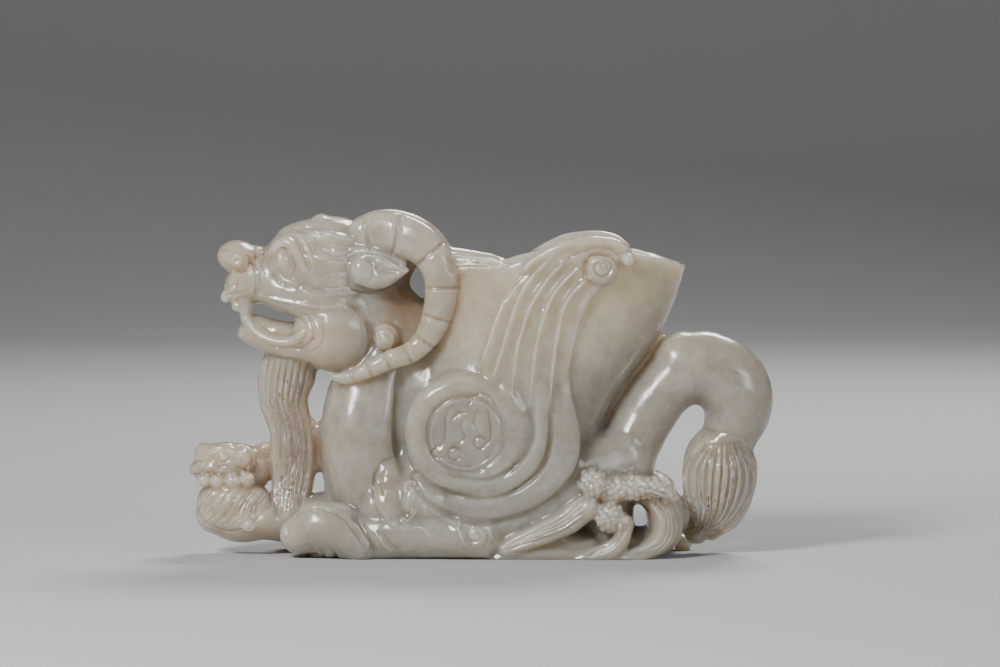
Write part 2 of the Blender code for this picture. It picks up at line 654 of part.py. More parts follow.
jade = bpy.data.materials.new("pale_jade")
jade.use_nodes = True
shader = jade.node_tree.nodes["Principled BSDF"]
shader.inputs["Base Color"].default_value = (0.66, 0.68, 0.60, 1.0)
shader.inputs["Roughness"].default_value = 0.28
stone.data.materials.clear()
stone.data.materials.append(jade)
for p in stone.data.polygons:
    p.use_smooth = True
stone.data.set_sharp_from_angle(angle=math.radians(45))
bpy.data.objects.remove(hollow, do_unlink=True)
bpy.data.objects.remove(ground, do_unlink=True)
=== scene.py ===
"""The jade beast vessel as it looks: fine carving, polished stone, stains and studio light."""

import math

import bmesh
import bpy
import numpy as np
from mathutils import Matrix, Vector


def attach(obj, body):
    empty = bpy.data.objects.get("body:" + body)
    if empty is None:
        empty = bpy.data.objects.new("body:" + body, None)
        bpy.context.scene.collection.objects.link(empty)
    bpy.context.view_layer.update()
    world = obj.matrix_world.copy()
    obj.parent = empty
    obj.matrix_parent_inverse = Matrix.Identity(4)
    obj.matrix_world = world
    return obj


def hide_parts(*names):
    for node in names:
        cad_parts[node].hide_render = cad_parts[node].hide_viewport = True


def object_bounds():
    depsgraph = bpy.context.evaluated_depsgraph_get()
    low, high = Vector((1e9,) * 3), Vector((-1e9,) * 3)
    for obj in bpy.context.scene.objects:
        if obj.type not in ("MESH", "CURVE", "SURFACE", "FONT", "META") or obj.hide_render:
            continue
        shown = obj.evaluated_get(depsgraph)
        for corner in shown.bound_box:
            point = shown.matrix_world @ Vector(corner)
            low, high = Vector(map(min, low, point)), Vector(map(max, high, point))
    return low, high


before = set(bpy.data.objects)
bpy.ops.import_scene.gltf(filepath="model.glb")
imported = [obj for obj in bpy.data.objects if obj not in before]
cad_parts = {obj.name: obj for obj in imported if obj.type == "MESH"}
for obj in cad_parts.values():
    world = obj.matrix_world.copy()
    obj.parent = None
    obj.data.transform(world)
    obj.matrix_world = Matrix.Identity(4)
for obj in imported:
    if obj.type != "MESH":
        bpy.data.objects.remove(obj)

CAD_BOX = [list(map(float, corner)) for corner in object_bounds()]

# Driving sizes in metres
LENGTH = 0.160
CUP_WALL = 0.0028
CUP_FLOOR_RISE = 0.034
WAVE_HALF_WIDTH = 0.0215
SHOULDER_HALF_WIDTH = 0.0225

# Side drawing: steps across from its left edge and down from its top
DRAWN_LENGTH = 584
DRAWN_MIDDLE = 480
DRAWN_BASE = 554
STEP = LENGTH / DRAWN_LENGTH

# Fineness of the first, rough skin in metres
ROUGH_GRAIN = 0.0009


def smooth_curve(rows, steps=8):
    """Points on a smooth curve through the rows, which may have any number of columns."""
    rows = np.array(rows, float)
    ends = np.vstack([2 * rows[0] - rows[1], rows, 2 * rows[-1] - rows[-2]])
    points = []
    for i in range(len(rows) - 1):
        a, b, c, d = ends[i : i + 4]
        for k in range(steps):
            t = k / steps
            bend = (2 * a - 5 * b + 4 * c - d) * t**2
            points.append(0.5 * (2 * b + (c - a) * t + bend + (3 * b - a - 3 * c + d) * t**3))
    points.append(rows[-1])
    return np.array(points)


def on_stone(across, down, deep):
    """Positions on the side drawing as places on the carving, in metres."""
    return np.column_stack([across - DRAWN_MIDDLE, deep, DRAWN_BASE - down]) * STEP


def tube_faces(rings, sides, first, last):
    faces = []
    for one, two in zip(rings, rings[1:]):
        for k in range(sides):
            n = (k + 1) % sides
            faces.append((one + k, one + n, two + n, two + k))
    for k in range(sides):
        n = (k + 1) % sides
        faces.append((first, rings[0] + n, rings[0] + k))
        faces.append((last, rings[-1] + k, rings[-1] + n))
    return faces


def sweep(rows, square=2.0, sides=20, steps=6, cap=1.0):
    """A round-ended limb through rows of (across, down, half height, deep, half width).

    In the middle plane, deep is left out.
    """
    path = smooth_curve([row if len(row) > 4 else (*row[:3], 0, row[3]) for row in rows], steps)
    centre = on_stone(path[:, 0], path[:, 1], path[:, 3])
    tall, wide = np.abs(path[:, 2]) * STEP, np.abs(path[:, 4]) * STEP
    along = np.gradient(centre, axis=0)
    along /= np.linalg.norm(along, axis=1)[:, None] + 1e-12
    turn = np.arange(sides) * 2 * np.pi / sides
    c, s = np.cos(turn), np.sin(turn)
    c = np.sign(c) * np.abs(c) ** (2.0 / square)
    s = np.sign(s) * np.abs(s) ** (2.0 / square)
    last = len(path) - 1
    stations = [(0, -math.sin(a), math.cos(a)) for a in (1.3, 0.85, 0.4)]
    stations += [(i, 0.0, 1.0) for i in range(len(path))]
    stations += [(last, math.sin(a), math.cos(a)) for a in (0.4, 0.85, 1.3)]
    verts, rings = [], []
    for i, push, scale in stations:
        side = np.array([0.0, 1.0, 0.0]) - along[i][1] * along[i]
        side /= np.linalg.norm(side)
        up = np.cross(side, along[i])
        middle = centre[i] + along[i] * push * min(tall[i], wide[i]) * cap
        rings.append(len(verts))
        verts.extend(middle + up * a * tall[i] * scale + side * b * wide[i] * scale for a, b in zip(c, s))
    ends = [centre[0] - along[0] * min(tall[0], wide[0]) * cap]
    ends.append(centre[last] + along[last] * min(tall[last], wide[last]) * cap)
    faces = tube_faces(rings, sides, len(verts), len(verts) + 1)
    return np.array(verts + ends), faces


def ball(across, down, rx, rz, deep=0.0, ry=None, turn=0.0, sides=22, rows=13):
    """An egg shape on the side drawing, leaned by turn degrees against the clock."""
    ry = rx if ry is None else ry
    verts = []
    for i in range(1, rows):
        a = math.pi * i / rows
        for k in range(sides):
            b = 2 * math.pi * k / sides
            verts.append((math.sin(a) * math.cos(b) * rx, math.sin(a) * math.sin(b) * ry, math.cos(a) * rz))
    verts += [(0, 0, rz), (0, 0, -rz)]
    rings = [i * sides for i in range(rows - 1)]
    faces = tube_faces(rings, sides, len(verts) - 2, len(verts) - 1)
    v = np.array(verts, float)
    t = math.radians(turn)
    x = v[:, 0] * math.cos(t) - v[:, 2] * math.sin(t)
    z = v[:, 0] * math.sin(t) + v[:, 2] * math.cos(t)
    return on_stone(across + x, down - z, deep + v[:, 1]), faces


def turned(across, down, profile, sides=56):
    """A round boss that faces the near side, from rows of (radius, deep) out from its middle."""
    verts = []
    for radius, deep in profile:
        for k in range(sides):
            b = 2 * math.pi * k / sides
            verts.append((across + radius * math.cos(b), down - radius * math.sin(b), -deep))
    verts += [(across, down, -profile[0][1]), (across, down, -profile[-1][1])]
    rings = [i * sides for i in range(len(profile))]
    v = np.array(verts, float)
    return on_stone(v[:, 0], v[:, 1], v[:, 2]), tube_faces(rings, sides, len(verts) - 2, len(verts) - 1)


def pair(*forms):
    """Each form and its mirror image on the other side."""
    out = []
    for verts, faces in forms:
        out.append((verts, faces))
        out.append((verts * (1, -1, 1), [tuple(reversed(f)) for f in faces]))
    return out


# Cup: down, left end, right end, widest place, half width
CUP_ROWS = (
    (566, 405, 588, 480, 58), (520, 396, 592, 482, 72), (480, 394, 593, 490, 79),
    (440, 398, 597, 497, 81), (410, 404, 609, 507, 80), (380, 412, 628, 520, 77),
    (350, 419, 650, 533, 75), (320, 424, 667, 543, 74), (295, 427, 677, 550, 74),
    (275, 429, 683, 556, 75), (262, 430, 686, 560, 76), (240, 430, 689, 562, 77),
)
# Rim of the cup: across, down
RIM = ((425, 272), (460, 268), (503, 262), (520, 256), (540, 251), (590, 248), (630, 248), (660, 254),
       (690, 264))


def cup_section(left, right, middle, half, sides=64):
    """An oval drawn out to a rounded lip at the right."""
    turn = np.arange(sides) * 2 * np.pi / sides
    c, s = np.cos(turn), np.sin(turn)
    reach = np.where(c >= 0, right - middle, middle - left)
    fall = np.where(c >= 0, (1 - np.abs(c) ** 2.3) ** 0.62, (1 - np.abs(c) ** 2.3) ** 0.46)
    return middle + c * reach, np.sign(s) * half * fall


def cup_form(rows, rim=None, sides=64):
    verts, rings = [], []
    for down, left, right, middle, half in rows:
        x, y = cup_section(left, right, middle, half, sides)
        level = np.full(sides, float(down))
        if rim is not None:
            level = np.maximum(level, np.interp(x, [p[0] for p in rim], [p[1] for p in rim]))
        rings.append(len(verts))
        verts.extend(on_stone(x, level, y))
    low, high = np.mean(verts[:sides], axis=0), np.mean(verts[-sides:], axis=0)
    return np.array(verts + [low, high]), tube_faces(rings, sides, len(verts), len(verts) + 1)


def cup_half(across, down):
    """Half width of the cup at a place on the side drawing."""
    table = np.array(sorted(CUP_ROWS))
    left, right, middle, half = (np.interp(down, table[:, 0], table[:, k]) for k in (1, 2, 3, 4))
    if across >= middle:
        c = min(1.0, (across - middle) / (right - middle))
        return half * (1 - c**2.3) ** 0.62
    c = min(1.0, (middle - across) / (middle - left))
    return half * (1 - c**2.3) ** 0.46


def on_cup(rows, lift, wide):
    """Rows of (across, down, half height, own lift) laid on the cup's near side."""
    return [(a, d, h, -(cup_half(a, d) + lift + sum(more)), wide) for a, d, h, *more in rows]


SHOULDER = SHOULDER_HALF_WIDTH / STEP
WAVE = WAVE_HALF_WIDTH / STEP


def body_forms():
    return [
        cup_form(CUP_ROWS, RIM),
        # chest, neck and the stone under them
        sweep([(379, 335, 36, 34), (376, 376, 41, 48), (369, 408, 45, 58), (365, 443, 45, 63),
               (370, 475, 44, 63), (377, 502, 43, 60), (380, 540, 40, 56)], square=2.6),
        sweep([(345, 262, 40, 34), (362, 300, 42, 34), (385, 330, 46, 34)]),
        sweep([(392, 252, 34, 26), (390, 277, 21, 28), (390, 292, 20, 28), (404, 322, 30, 28),
               (412, 345, 36, 34)]),
        sweep([(395, 345, 40, 34), (430, 390, 50, 52), (450, 440, 60, 66)]),
        ball(400, 485, 50, 48, 0, 66),
        *pair(ball(422, 500, 40, 32, -52, 27), ball(392, 506, 36, 32, -50, 25)),
        ball(440, 505, 60, 40, 0, 72),
        sweep([(318, 546, 16, 56), (400, 542, 26, 64), (500, 542, 26, 66), (590, 548, 20, 66)],
               square=3.0),
        # haunch and tail
        sweep([(550, 475, 46, 68), (590, 470, 38, 60), (625, 458, 32, 44)], square=2.8),
        ball(545, 508, 52, 38, 0, 70),
        sweep([(470, 500, 30, 66), (530, 500, 30, 66), (575, 488, 32, 64), (600, 472, 30, 58)],
               square=3.2),
        sweep([(612, 480, 34, 42), (628, 448, 31, 36), (645, 415, 31, 33), (667, 386, 31, 32),
               (697, 368, 37, 34), (726, 378, 38, 35), (738, 405, 36, 35), (730, 436, 28, 32)]),
        ball(681, 361, 29, 30, 0, 31),
    ]


def head_forms():
    forms = [
        ball(334, 264, 48, 48, 0, 48),
        sweep([(335, 270, 50, 48), (300, 269, 44, 45), (272, 277, 29, 38), (248, 281, 22, 28)],
               square=2.6),
        sweep([(335, 335, 42, 44), (305, 348, 20, 40), (275, 344, 13, 32), (247, 332, 10, 23)],
               square=2.4),
        ball(239, 257, 22, 17, 0, 29, turn=-8),
        sweep([(238, 272, 9, 24), (233, 288, 9, 23), (238, 302, 6, 18)]),
        sweep([(255, 326, 12, 19), (276, 334, 14, 27), (300, 338, 15, 36)], square=2.8),
        ball(298, 246, 25, 23, 0, 38, turn=4),
        ball(241, 294, 13, 12, 0, 24),
        sweep([(300, 231, 10, 26), (328, 226, 10, 24), (350, 229, 9, 20)]),
        ball(322, 221, 10, 7, 0, 20, turn=-10),
        ball(342, 223, 10, 6, 0, 18, turn=-10),
        ball(345, 320, 46, 50, 0, 42),
    ]
    forms += pair(
        ball(334, 332, 41, 39, -25, 28),
        # side of the muzzle
        sweep([(262, 285, 17, -16, 17), (286, 289, 22, -22, 20), (316, 297, 26, -26, 22),
               (340, 312, 30, -24, 22)]),
        ball(239, 259, 9, 9, -21, 9),
        ball(284, 259, 8, 12, -36, 10, turn=18),
        sweep([(273, 250, 4, -31, 6), (282, 242, 5, -36, 8), (292, 242, 6, -39, 9), (300, 253, 6, -42, 8),
               (306, 268, 5, -43, 7)]),
        sweep([(276, 268, 3.5, -34, 5), (284, 277, 4, -37, 6), (297, 282, 4, -41, 6)]),
        sweep([(248, 319, 4, -17, 7), (256, 330, 4.5, -24, 7), (268, 337, 4.5, -29, 7),
               (283, 340, 4.5, -34, 7), (297, 338, 4.5, -38, 7), (307, 330, 4, -41, 6),
               (314, 319, 3, -42, 4)]),
        sweep([(247, 302, 6, -15, 8), (246, 318, 5, -15, 7)]),
        ball(226, 296, 5, 6, -14, 7),
        ball(238, 305, 6, 6, -15, 6),
        ball(386, 336, 14, 14, -36, 15),
    )
    forms += [ball(258, 250, 6, 5, 0, 18), ball(267, 252, 6, 5, 0, 18)]
    # hair swept back from the brow
    forms += pair(
        sweep([(300, 240, 8, -30, 8), (325, 236, 7, -35, 8), (350, 240, 6, -36, 7)]),
        sweep([(310, 257, 6, -40, 8), (328, 258, 6, -42, 7), (348, 261, 5, -41, 6)]),
    )
    # ear, horn and the mane lock on the front of the cup
    forms += pair(
        sweep([(358, 252, 10, -34, 13), (380, 255, 9, -40, 13), (404, 263, 4, -47, 7)]),
        ball(362, 269, 11, 15, -44, 11),
        sweep([(368, 272, 14, -45, 9), (381, 272, 15, -48, 9), (395, 270, 10, -51, 8),
               (408, 268, 3, -54, 4)]),
        sweep(HORN_ROWS, square=2.5),
        sweep([(442, 260, 13, -44, 11), (465, 262, 11, -54, 9), (488, 262, 7, -64, 7),
               (503, 262, 2, -70, 3)]),
    )
    return forms


# Horn: across, down, half height, deep, half width
HORN_ROWS = (
    (364, 234, 18, -28, 15), (381, 231, 21, -34, 16), (401, 233, 21, -42, 17),
    (422, 243, 20, -49, 16), (437, 261, 18, -53, 15), (442, 285, 17, -53, 14),
    (437, 315, 14.5, -53, 13), (425, 338, 12, -53, 12), (408, 351, 10.5, -53, 11),
    (388, 358, 9.5, -53, 10), (366, 368, 8, -52, 9), (346, 375, 6, -48, 7), (334, 374, 4, -46, 5),
)


# Joints of the horn, counted along its rows
HORN_JOINTS = (0.2, 1.85, 3.5, 5.0, 6.0, 7.0, 8.05, 9.0, 9.8, 10.6)


def horn_joints(places):
    """Middle, half height and direction of the horn at some of its joints."""
    path = smooth_curve(HORN_ROWS, 10)
    for k in (int(place * 10) for place in places):
        dx, dz = (path[k + 1] - path[k - 1])[:2]
        yield (*path[k][:3], dx, dz, math.hypot(dx, dz))


def beard_forms():
    forms = [
        sweep([(300, 345, 24, 26), (288, 372, 29, 27), (284, 400, 25, 25), (290, 426, 22, 24),
               (293, 452, 24, 25), (293, 478, 22, 29), (289, 503, 19, 36), (289, 522, 18, 40)],
               cap=0.8),
        sweep([(312, 421, 3, 7), (318, 430, 7, 9), (319, 450, 8, 10), (316, 468, 6, 10)]),
        sweep([(326, 466, 5, 16), (332, 484, 9, 24), (336, 502, 14, 34)]),
        sweep([(296, 506, 10, 34), (322, 506, 12, 36)]),
    ]
    # cub and the wave that carries it
    forms += [
        sweep([(211, 461, 17, 24), (227, 461, 19, 27), (242, 461, 17, 25)], square=2.6),
        ball(204, 455, 10, 12, 0, 20),
        ball(198, 469, 10, 7, 0, 15),
        ball(205, 474, 12, 7, 0, 18),
        ball(233, 502, 37, 27, 0, 36),
        sweep([(216, 514, 21, 30), (240, 518, 25, 37), (266, 519, 22, 36), (292, 524, 20, 30)]),
        ball(258, 468, 14, 22, 8, 20),
        ball(264, 447, 5, 5, 8, 10),
        sweep([(206, 480, 6, 24), (228, 481, 7, 28), (252, 479, 6, 26)]),
    ]
    forms += pair(
        ball(243, 457, 9, 10, -20, 9, turn=-25),
        ball(250, 523, 9, 8, -34, 9),
        ball(224, 455, 6, 5, -23, 6),
        ball(216, 449, 8, 4, -20, 6, turn=10),
        ball(204, 479, 7, 7, -20, 8),
        ball(218, 480, 7, 7, -24, 8),
        ball(233, 479, 8, 8, -25, 9),
        ball(248, 478, 8, 8, -24, 9),
        ball(252, 499, 18, 14, -16, 16),
    )
    return forms


def limb_forms():
    forms = pair(
        # paw and forearm
        sweep([(301, 531, 20, -48, 24), (320, 524, 28, -52, 27), (342, 528, 27, -54, 27),
               (362, 540, 20, -57, 24)]),
        sweep([(372, 532, 24, -56, 22), (410, 529, 25, -58, 24), (450, 531, 22, -62, 22),
               (482, 533, 21, -64, 20)]),
        ball(478, 530, 15, 14, -76, 12),
    )
    # shoulder coil and the bands that run from it into the wing
    top = SHOULDER
    forms += pair(
        turned(466, 429, [(24, top - 1.6), (33, top - 1.8), (37, top - 3), (40, top - 1.6),
                          (44, top - 0.4), (48, top), (52, top - 0.8), (56, top - 3),
                          (59, top - 8), (61, top - 14), (62, top - 28)]),
        sweep([(across, down, tall, 12 - top, 12)
               for across, down, tall in ((486, 463, 8), (502, 453, 11), (514, 438, 14), (518, 420, 15),
                                          (514, 400, 13), (504, 385, 10))]),
        sweep([(424, 456, 7, -66, 9), (436, 469, 9, -67, 9), (455, 478, 11, -68, 9),
               (477, 481, 11, -68, 10), (498, 479, 11, -69, 10), (516, 470, 11, -70, 10),
               (531, 454, 11, -71, 10), (539, 431, 10, -73, 10), (541, 402, 9, -74, 9),
               (541, 376, 8, -73, 8)], square=2.8),
        sweep([(420, 476, 8, -62, 9), (440, 491, 11, -62, 10), (460, 498, 14, -63, 10),
               (481, 500, 15, -64, 10), (502, 499, 16, -65, 10), (523, 491, 16, -66, 10),
               (543, 477, 16, -67, 10), (559, 457, 17, -68, 10), (563, 432, 17, -69, 10),
               (561, 408, 14, -70, 9), (559, 384, 11, -70, 8), (560, 356, 9, -69, 6)], square=2.8),
    )
    return forms


# Ridges of the wing from its top down to the coil
WING_RIDGES = (
    ((536, 254), (520, 270), (508, 288), (499, 310), (490, 335), (484, 352), (478, 366)),
    ((552, 252), (535, 270), (524, 284), (515, 303), (508, 325), (501, 348), (493, 372)),
    ((566, 256), (550, 272), (538, 289), (529, 305), (522, 326), (516, 348), (512, 386)),
    ((578, 264), (561, 280), (549, 298), (542, 317), (536, 340), (533, 362), (529, 402)),
    ((588, 274), (573, 288), (563, 303), (558, 324), (554, 347), (551, 374), (549, 404)),
)


def wing_forms():
    slab = ((578, 262, 30, 0), (558, 284, 35, 0), (544, 305, 39, 0), (534, 330, 41, 0), (527, 354, 43, -1),
            (523, 376, 42, -4), (521, 398, 38, -9))
    return pair(
        sweep(on_cup(slab, 0, 7), square=3.6, sides=32),
        # scroll over the rim
        sweep(on_cup(((544, 264, 11), (566, 254, 14), (592, 250, 15), (611, 256, 12)), 0, 9)),
        ball(599, 266, 19, 19, -76, 13),
        ball(626, 256, 7, 7, -80, 9),
        sweep(on_cup(((526, 264, 4), (542, 253, 5), (560, 244, 5), (578, 239, 5), (596, 238, 5),
                      (614, 241, 5), (626, 249, 5)), 4, 7)),
    )


def wave_forms():
    forms = [
        # great curling wave across the whole back
        sweep([(628, 486, 12, WAVE - 12), (648, 490, 16, WAVE - 6), (663, 504, 19, WAVE - 2),
               (665, 526, 18, WAVE), (654, 542, 15, WAVE), (630, 552, 12, WAVE),
               (598, 554, 10, WAVE - 4)], square=2.8),
        sweep([(600, 470, 22, 56), (622, 482, 20, 56), (642, 490, 15, 56)]),
        sweep([(596, 500, 22, 56), (602, 520, 26, 56), (606, 545, 26, 56)]),
        sweep([(622, 494, 13, 54), (621, 520, 13, 52), (626, 542, 14, 56)]),
        sweep([(626, 540, 12, 58), (650, 538, 11, 60)]),
        # tuft at the tail's end
        sweep([(730, 428, 20, 26), (722, 455, 36, 38), (719, 485, 37, 42), (712, 512, 29, 36),
               (697, 532, 13, 24)]),
        sweep([(747, 462, 8, 4, 26), (746, 490, 9, 6, 28), (734, 516, 10, 6, 24), (713, 536, 6, 4, 16)]),
        ball(684, 547, 10, 9, 42, 14),
        ball(684, 515, 14, 18, 0, 28),
    ]
    forms += pair(
        # foam heads and their stems
        sweep([(505, 543, 8, -66, 12), (534, 531, 11, -68, 13), (562, 519, 13, -68, 13),
               (586, 503, 13, -68, 13)]),
        ball(593, 480, 14, 14, -67, 14),
        sweep([(608, 486, 14, -62, 14), (632, 483, 13, -64, 15), (653, 485, 12, -68, 14),
               (668, 491, 9, -72, 12)]),
        sweep([(582, 553, 10, -64, 14), (604, 548, 10, -67, 13), (619, 536, 9, -69, 12),
               (624, 518, 9, -69, 12)]),
        ball(609, 512, 16, 15, -67, 15),
        sweep([(500, 560, 16, -60, 16), (540, 558, 16, -60, 16), (580, 558, 14, -60, 16)]),
    )
    return forms


def add_object(name, data):
    ob = bpy.data.objects.new(name, data)
    bpy.context.scene.collection.objects.link(ob)
    return ob


def mesh_object(name, forms):
    verts, faces, base = [], [], 0
    for form_verts, form_faces in forms:
        verts.append(form_verts)
        faces.extend(tuple(i + base for i in f) for f in form_faces)
        base += len(form_verts)
    mesh = bpy.data.meshes.new(name)
    mesh.from_pydata(np.vstack(verts).tolist(), [], faces)
    mesh.validate()
    return add_object(name, mesh)


def settle(ob):
    """Turn the modifiers of an object into its own mesh."""
    graph = bpy.context.evaluated_depsgraph_get()
    mesh = bpy.data.meshes.new_from_object(ob.evaluated_get(graph), depsgraph=graph)
    old = ob.data
    ob.modifiers.clear()
    ob.data = mesh
    bpy.data.meshes.remove(old)


def fuse(ob, grain, smoothing):
    """Run all the overlapping forms of an object into one skin."""
    skin = ob.modifiers.new("skin", "REMESH")
    skin.mode = "VOXEL"
    skin.voxel_size = grain
    skin.adaptivity = 0.0
    if smoothing:
        soft = ob.modifiers.new("soft", "SMOOTH")
        soft.factor = 0.5
        soft.iterations = smoothing
    settle(ob)


def join_forms(ob, forms):
    extra = mesh_object("extra", forms)
    bm = bmesh.new()
    bm.from_mesh(ob.data)
    bm.from_mesh(extra.data)
    bm.to_mesh(ob.data)
    bm.free()
    bpy.data.objects.remove(extra, do_unlink=True)


def mesh_arrays(mesh):
    count = len(mesh.vertices)
    places, normals = np.empty(count * 3), np.empty(count * 3)
    mesh.vertices.foreach_get("co", places)
    mesh.vertices.foreach_get("normal", normals)
    return places.reshape(-1, 3), normals.reshape(-1, 3)


def read_places(mesh):
    """Places and normals of the skin, with its places on the side drawing."""
    places, normals = mesh_arrays(mesh)
    across = places[:, 0] / STEP + DRAWN_MIDDLE
    down = DRAWN_BASE - places[:, 2] / STEP
    deep = np.abs(places[:, 1]) / STEP
    return places, normals, across, down, deep


def put_places(ob, places):
    ob.data.vertices.foreach_set("co", places.ravel())
    ob.data.update()


def in_box(across, down, left, top, right, bottom):
    return (across > left) & (across < right) & (down > top) & (down < bottom)


def engrave(ob, lines, edge=2.0):
    """Cut grooves along lines of (points, half breadth, depth, inner limit of depth).

    A third number at a point is the half breadth there. A depth below nothing raises a ridge.
    """
    places, normals, across, down, deep = read_places(ob.data)
    cut = np.zeros(len(places))
    for points, breadth, depth, inner in lines:
        path = smooth_curve([(*p[:2], p[2] if len(p) > 2 else breadth) for p in points], 5)
        reach = path[:, 2].max()
        low, high = path[:, :2].min(axis=0) - reach, path[:, :2].max(axis=0) + reach
        near = np.where(in_box(across, down, *low, *high) & (deep > inner))[0]
        if not len(near):
            continue
        x, z = across[near], down[near]
        best = np.full(len(near), np.inf)
        fade = np.ones(len(near))
        total = len(path) - 1
        for k in range(total):
            ax, az, wide = path[k]
            bx, bz, more = path[k + 1] - path[k]
            t = np.clip(((x - ax) * bx + (z - az) * bz) / (bx * bx + bz * bz + 1e-12), 0, 1)
            d = np.hypot(x - ax - t * bx, z - az - t * bz) / (wide + t * more)
            closer = d < best
            best = np.where(closer, d, best)
            place = (k + t) / total
            fade = np.where(closer, np.minimum(1.0, np.minimum(place, 1 - place) * 6 + 0.35), fade)
        amount = depth * fade * np.clip(1 - best**2, 0, 1) ** edge
        cut[near] = np.where(np.abs(amount) > np.abs(cut[near]), amount, cut[near])
    facing = np.clip(normals[:, 1] * np.sign(places[:, 1]) * 2.5, 0, 1)
    places -= normals * (cut * facing * STEP)[:, None]
    put_places(ob, places)


def between(left, right, count):
    """Lines spaced evenly between two side lines."""
    left, right = np.array(left, float), np.array(right, float)
    return [left + (right - left) * (k + 1) / (count + 1) for k in range(count)]


def flutes():
    """Hollows between the ridges of the wing, each as broad as the gap it fills."""
    lines = []
    edge = ((594, 286), (583, 300), (575, 322), (571, 345), (568, 370), (566, 404))
    ridges = [smooth_curve(line, 6) for line in (*WING_RIDGES, edge)]
    for one, two in zip(ridges, ridges[1:]):
        spread = np.linspace(0, 1, 9)
        a = np.column_stack([np.interp(spread * (len(one) - 1), range(len(one)), one[:, k]) for k in (0, 1)])
        b = np.column_stack([np.interp(spread * (len(two) - 1), range(len(two)), two[:, k]) for k in (0, 1)])
        gap = np.hypot(*(a - b).T) / 2 * 0.94
        lines.append((np.column_stack([(a + b) / 2, gap]), 8, 4.0, 55))
    return lines


def leaves():
    """Low flat-topped leaves of hair on the foreleg."""
    return [
        (((393, 461, 5), (388, 474, 11), (387, 490, 13), (390, 505, 11), (395, 516, 6)), 10, -3.6, 45),
        (((417, 482, 2), (411, 488, 5), (409, 498, 6), (413, 508, 3)), 5, -2.4, 45),
    ]


# Sides of the beard and of the tail tuft, between which their strands are spread
BEARD_LEFT = ((261, 356), (258, 378), (260, 400), (270, 425), (271, 450), (273, 478))
BEARD_RIGHT = ((315, 366), (311, 385), (306, 403), (311, 425), (313, 450), (310, 478))
TUFT_LEFT = ((700, 444), (681, 464), (681, 490), (688, 514), (682, 538))
TUFT_RIGHT = ((742, 440), (760, 470), (755, 497), (739, 520), (710, 542))


def beard_strands(count, left_end, right_end):
    return between((*BEARD_LEFT, left_end), (*BEARD_RIGHT, right_end), count)


def carved_lines():
    lines = [(line, 3.2, 3.6, 0) for line in beard_strands(7, (273, 515), (302, 508))]
    lines += [(line, 3.6, 4.2, 0) for line in between(TUFT_LEFT, TUFT_RIGHT, 9)]
    for k in range(3):
        lines.append((((448, 256 + 5 * k), (475, 258 + 3.5 * k), (500, 262)), 2.6, 2.4, 30))
    wave_outer = ((640, 476), (662, 482), (677, 498), (684, 518), (681, 536), (669, 550), (645, 558))
    wave_inner = ((632, 502), (645, 500), (655, 507), (659, 518), (658, 528), (651, 538), (632, 545))
    lines += [(line, 3.2, 2.6, 20) for line in between(wave_outer, wave_inner, 4)]
    turns = np.arange(27) / 4
    lines += [
        # valleys between head, neck and body
        (((402, 372), (399, 400), (399, 440), (405, 472)), 7, 6, 30),
        (((350, 301), (364, 312), (372, 328), (372, 344), (362, 358), (350, 368)), 5, 4, 15),
        (((252, 257), (259, 270), (260, 284), (256, 295)), 4, 3, 15),
        # round the coil and between its bands
        (np.column_stack([466 + 38 * np.cos(turns), 429 - 38 * np.sin(turns)]), 2.6, 1.3, 60),
        (((444, 468), (465, 471), (484, 474), (503, 469), (522, 453), (532, 428), (529, 402)), 4, 3.2, 55),
        (((436, 482), (452, 489), (470, 492), (489, 493), (511, 487), (532, 473), (545, 455), (550, 433),
          (551, 400)), 4, 3.2, 50),
        # scroll at the top of the wing
        (np.column_stack([599 + 17 * np.cos(turns), 266 - 17 * np.sin(turns)]), 3.0, 2.2, 60),
        # toes, wrist and the locks on the foreleg
        (((323, 560), (325, 552), (322, 544)), 3, 2.4, 40),
        (((336, 560), (337, 552), (334, 544)), 3, 2.4, 40),
        (((352, 508), (362, 518), (370, 532), (378, 548)), 4.5, 3.5, 45),
        (((410, 470), (420, 486), (436, 501), (456, 511), (480, 516), (506, 515), (530, 507)), 5, 3.5, 50),
    ]
    # joints of the horn
    for x, z, tall, dx, dz, size in horn_joints(HORN_JOINTS):
        ax, az = -dz / size * tall, dx / size * tall
        lines.append((((x + ax, z + az), (x, z), (x - ax, z - az)), 3.0, 2.6, 20))
    # hollow of the ear
    lines.append((((376, 262, 4), (384, 268, 7), (400, 269, 3)), 6, 3.6, 40))
    lines.append((((374, 257), (375, 268), (369, 281)), 3, 1.5, 40))
    lines.append((((261, 256), (268, 266), (278, 277)), 9, 2.6, 15))
    return lines


def hollow_rows_of_cup():
    """Inside of the cup, a wall's thickness within the outer form, with a rounded floor."""
    wall = CUP_WALL / STEP
    floor_down = DRAWN_BASE - CUP_FLOOR_RISE / STEP
    upper = [(down, left + wall * 1.4, right - wall * 1.6, middle, half - wall)
             for down, left, right, middle, half in CUP_ROWS if down < floor_down - 4 * wall]
    down, left, right, middle, half = upper[0]
    rows = []
    for turn in (90, 67, 45, 22):
        shrink = 0.4 + 0.6 * math.cos(math.radians(turn))
        level = down + (floor_down - down) * math.sin(math.radians(turn))
        rows.append((level, middle - (middle - left) * shrink, middle + (right - middle) * shrink,
                     middle, half * shrink))
    return rows + upper + [(200,) + upper[-1][1:]]


# Fineness of the skin in metres and the count that it is thinned to
SKIN_GRAIN = 0.00040
SKIN_TRIANGLES = 192000

# Boldness of the fine carving
RELIEF = 1.3

# Turn from one foam bubble to the next, in radians
GOLDEN_ANGLE = 2.39996


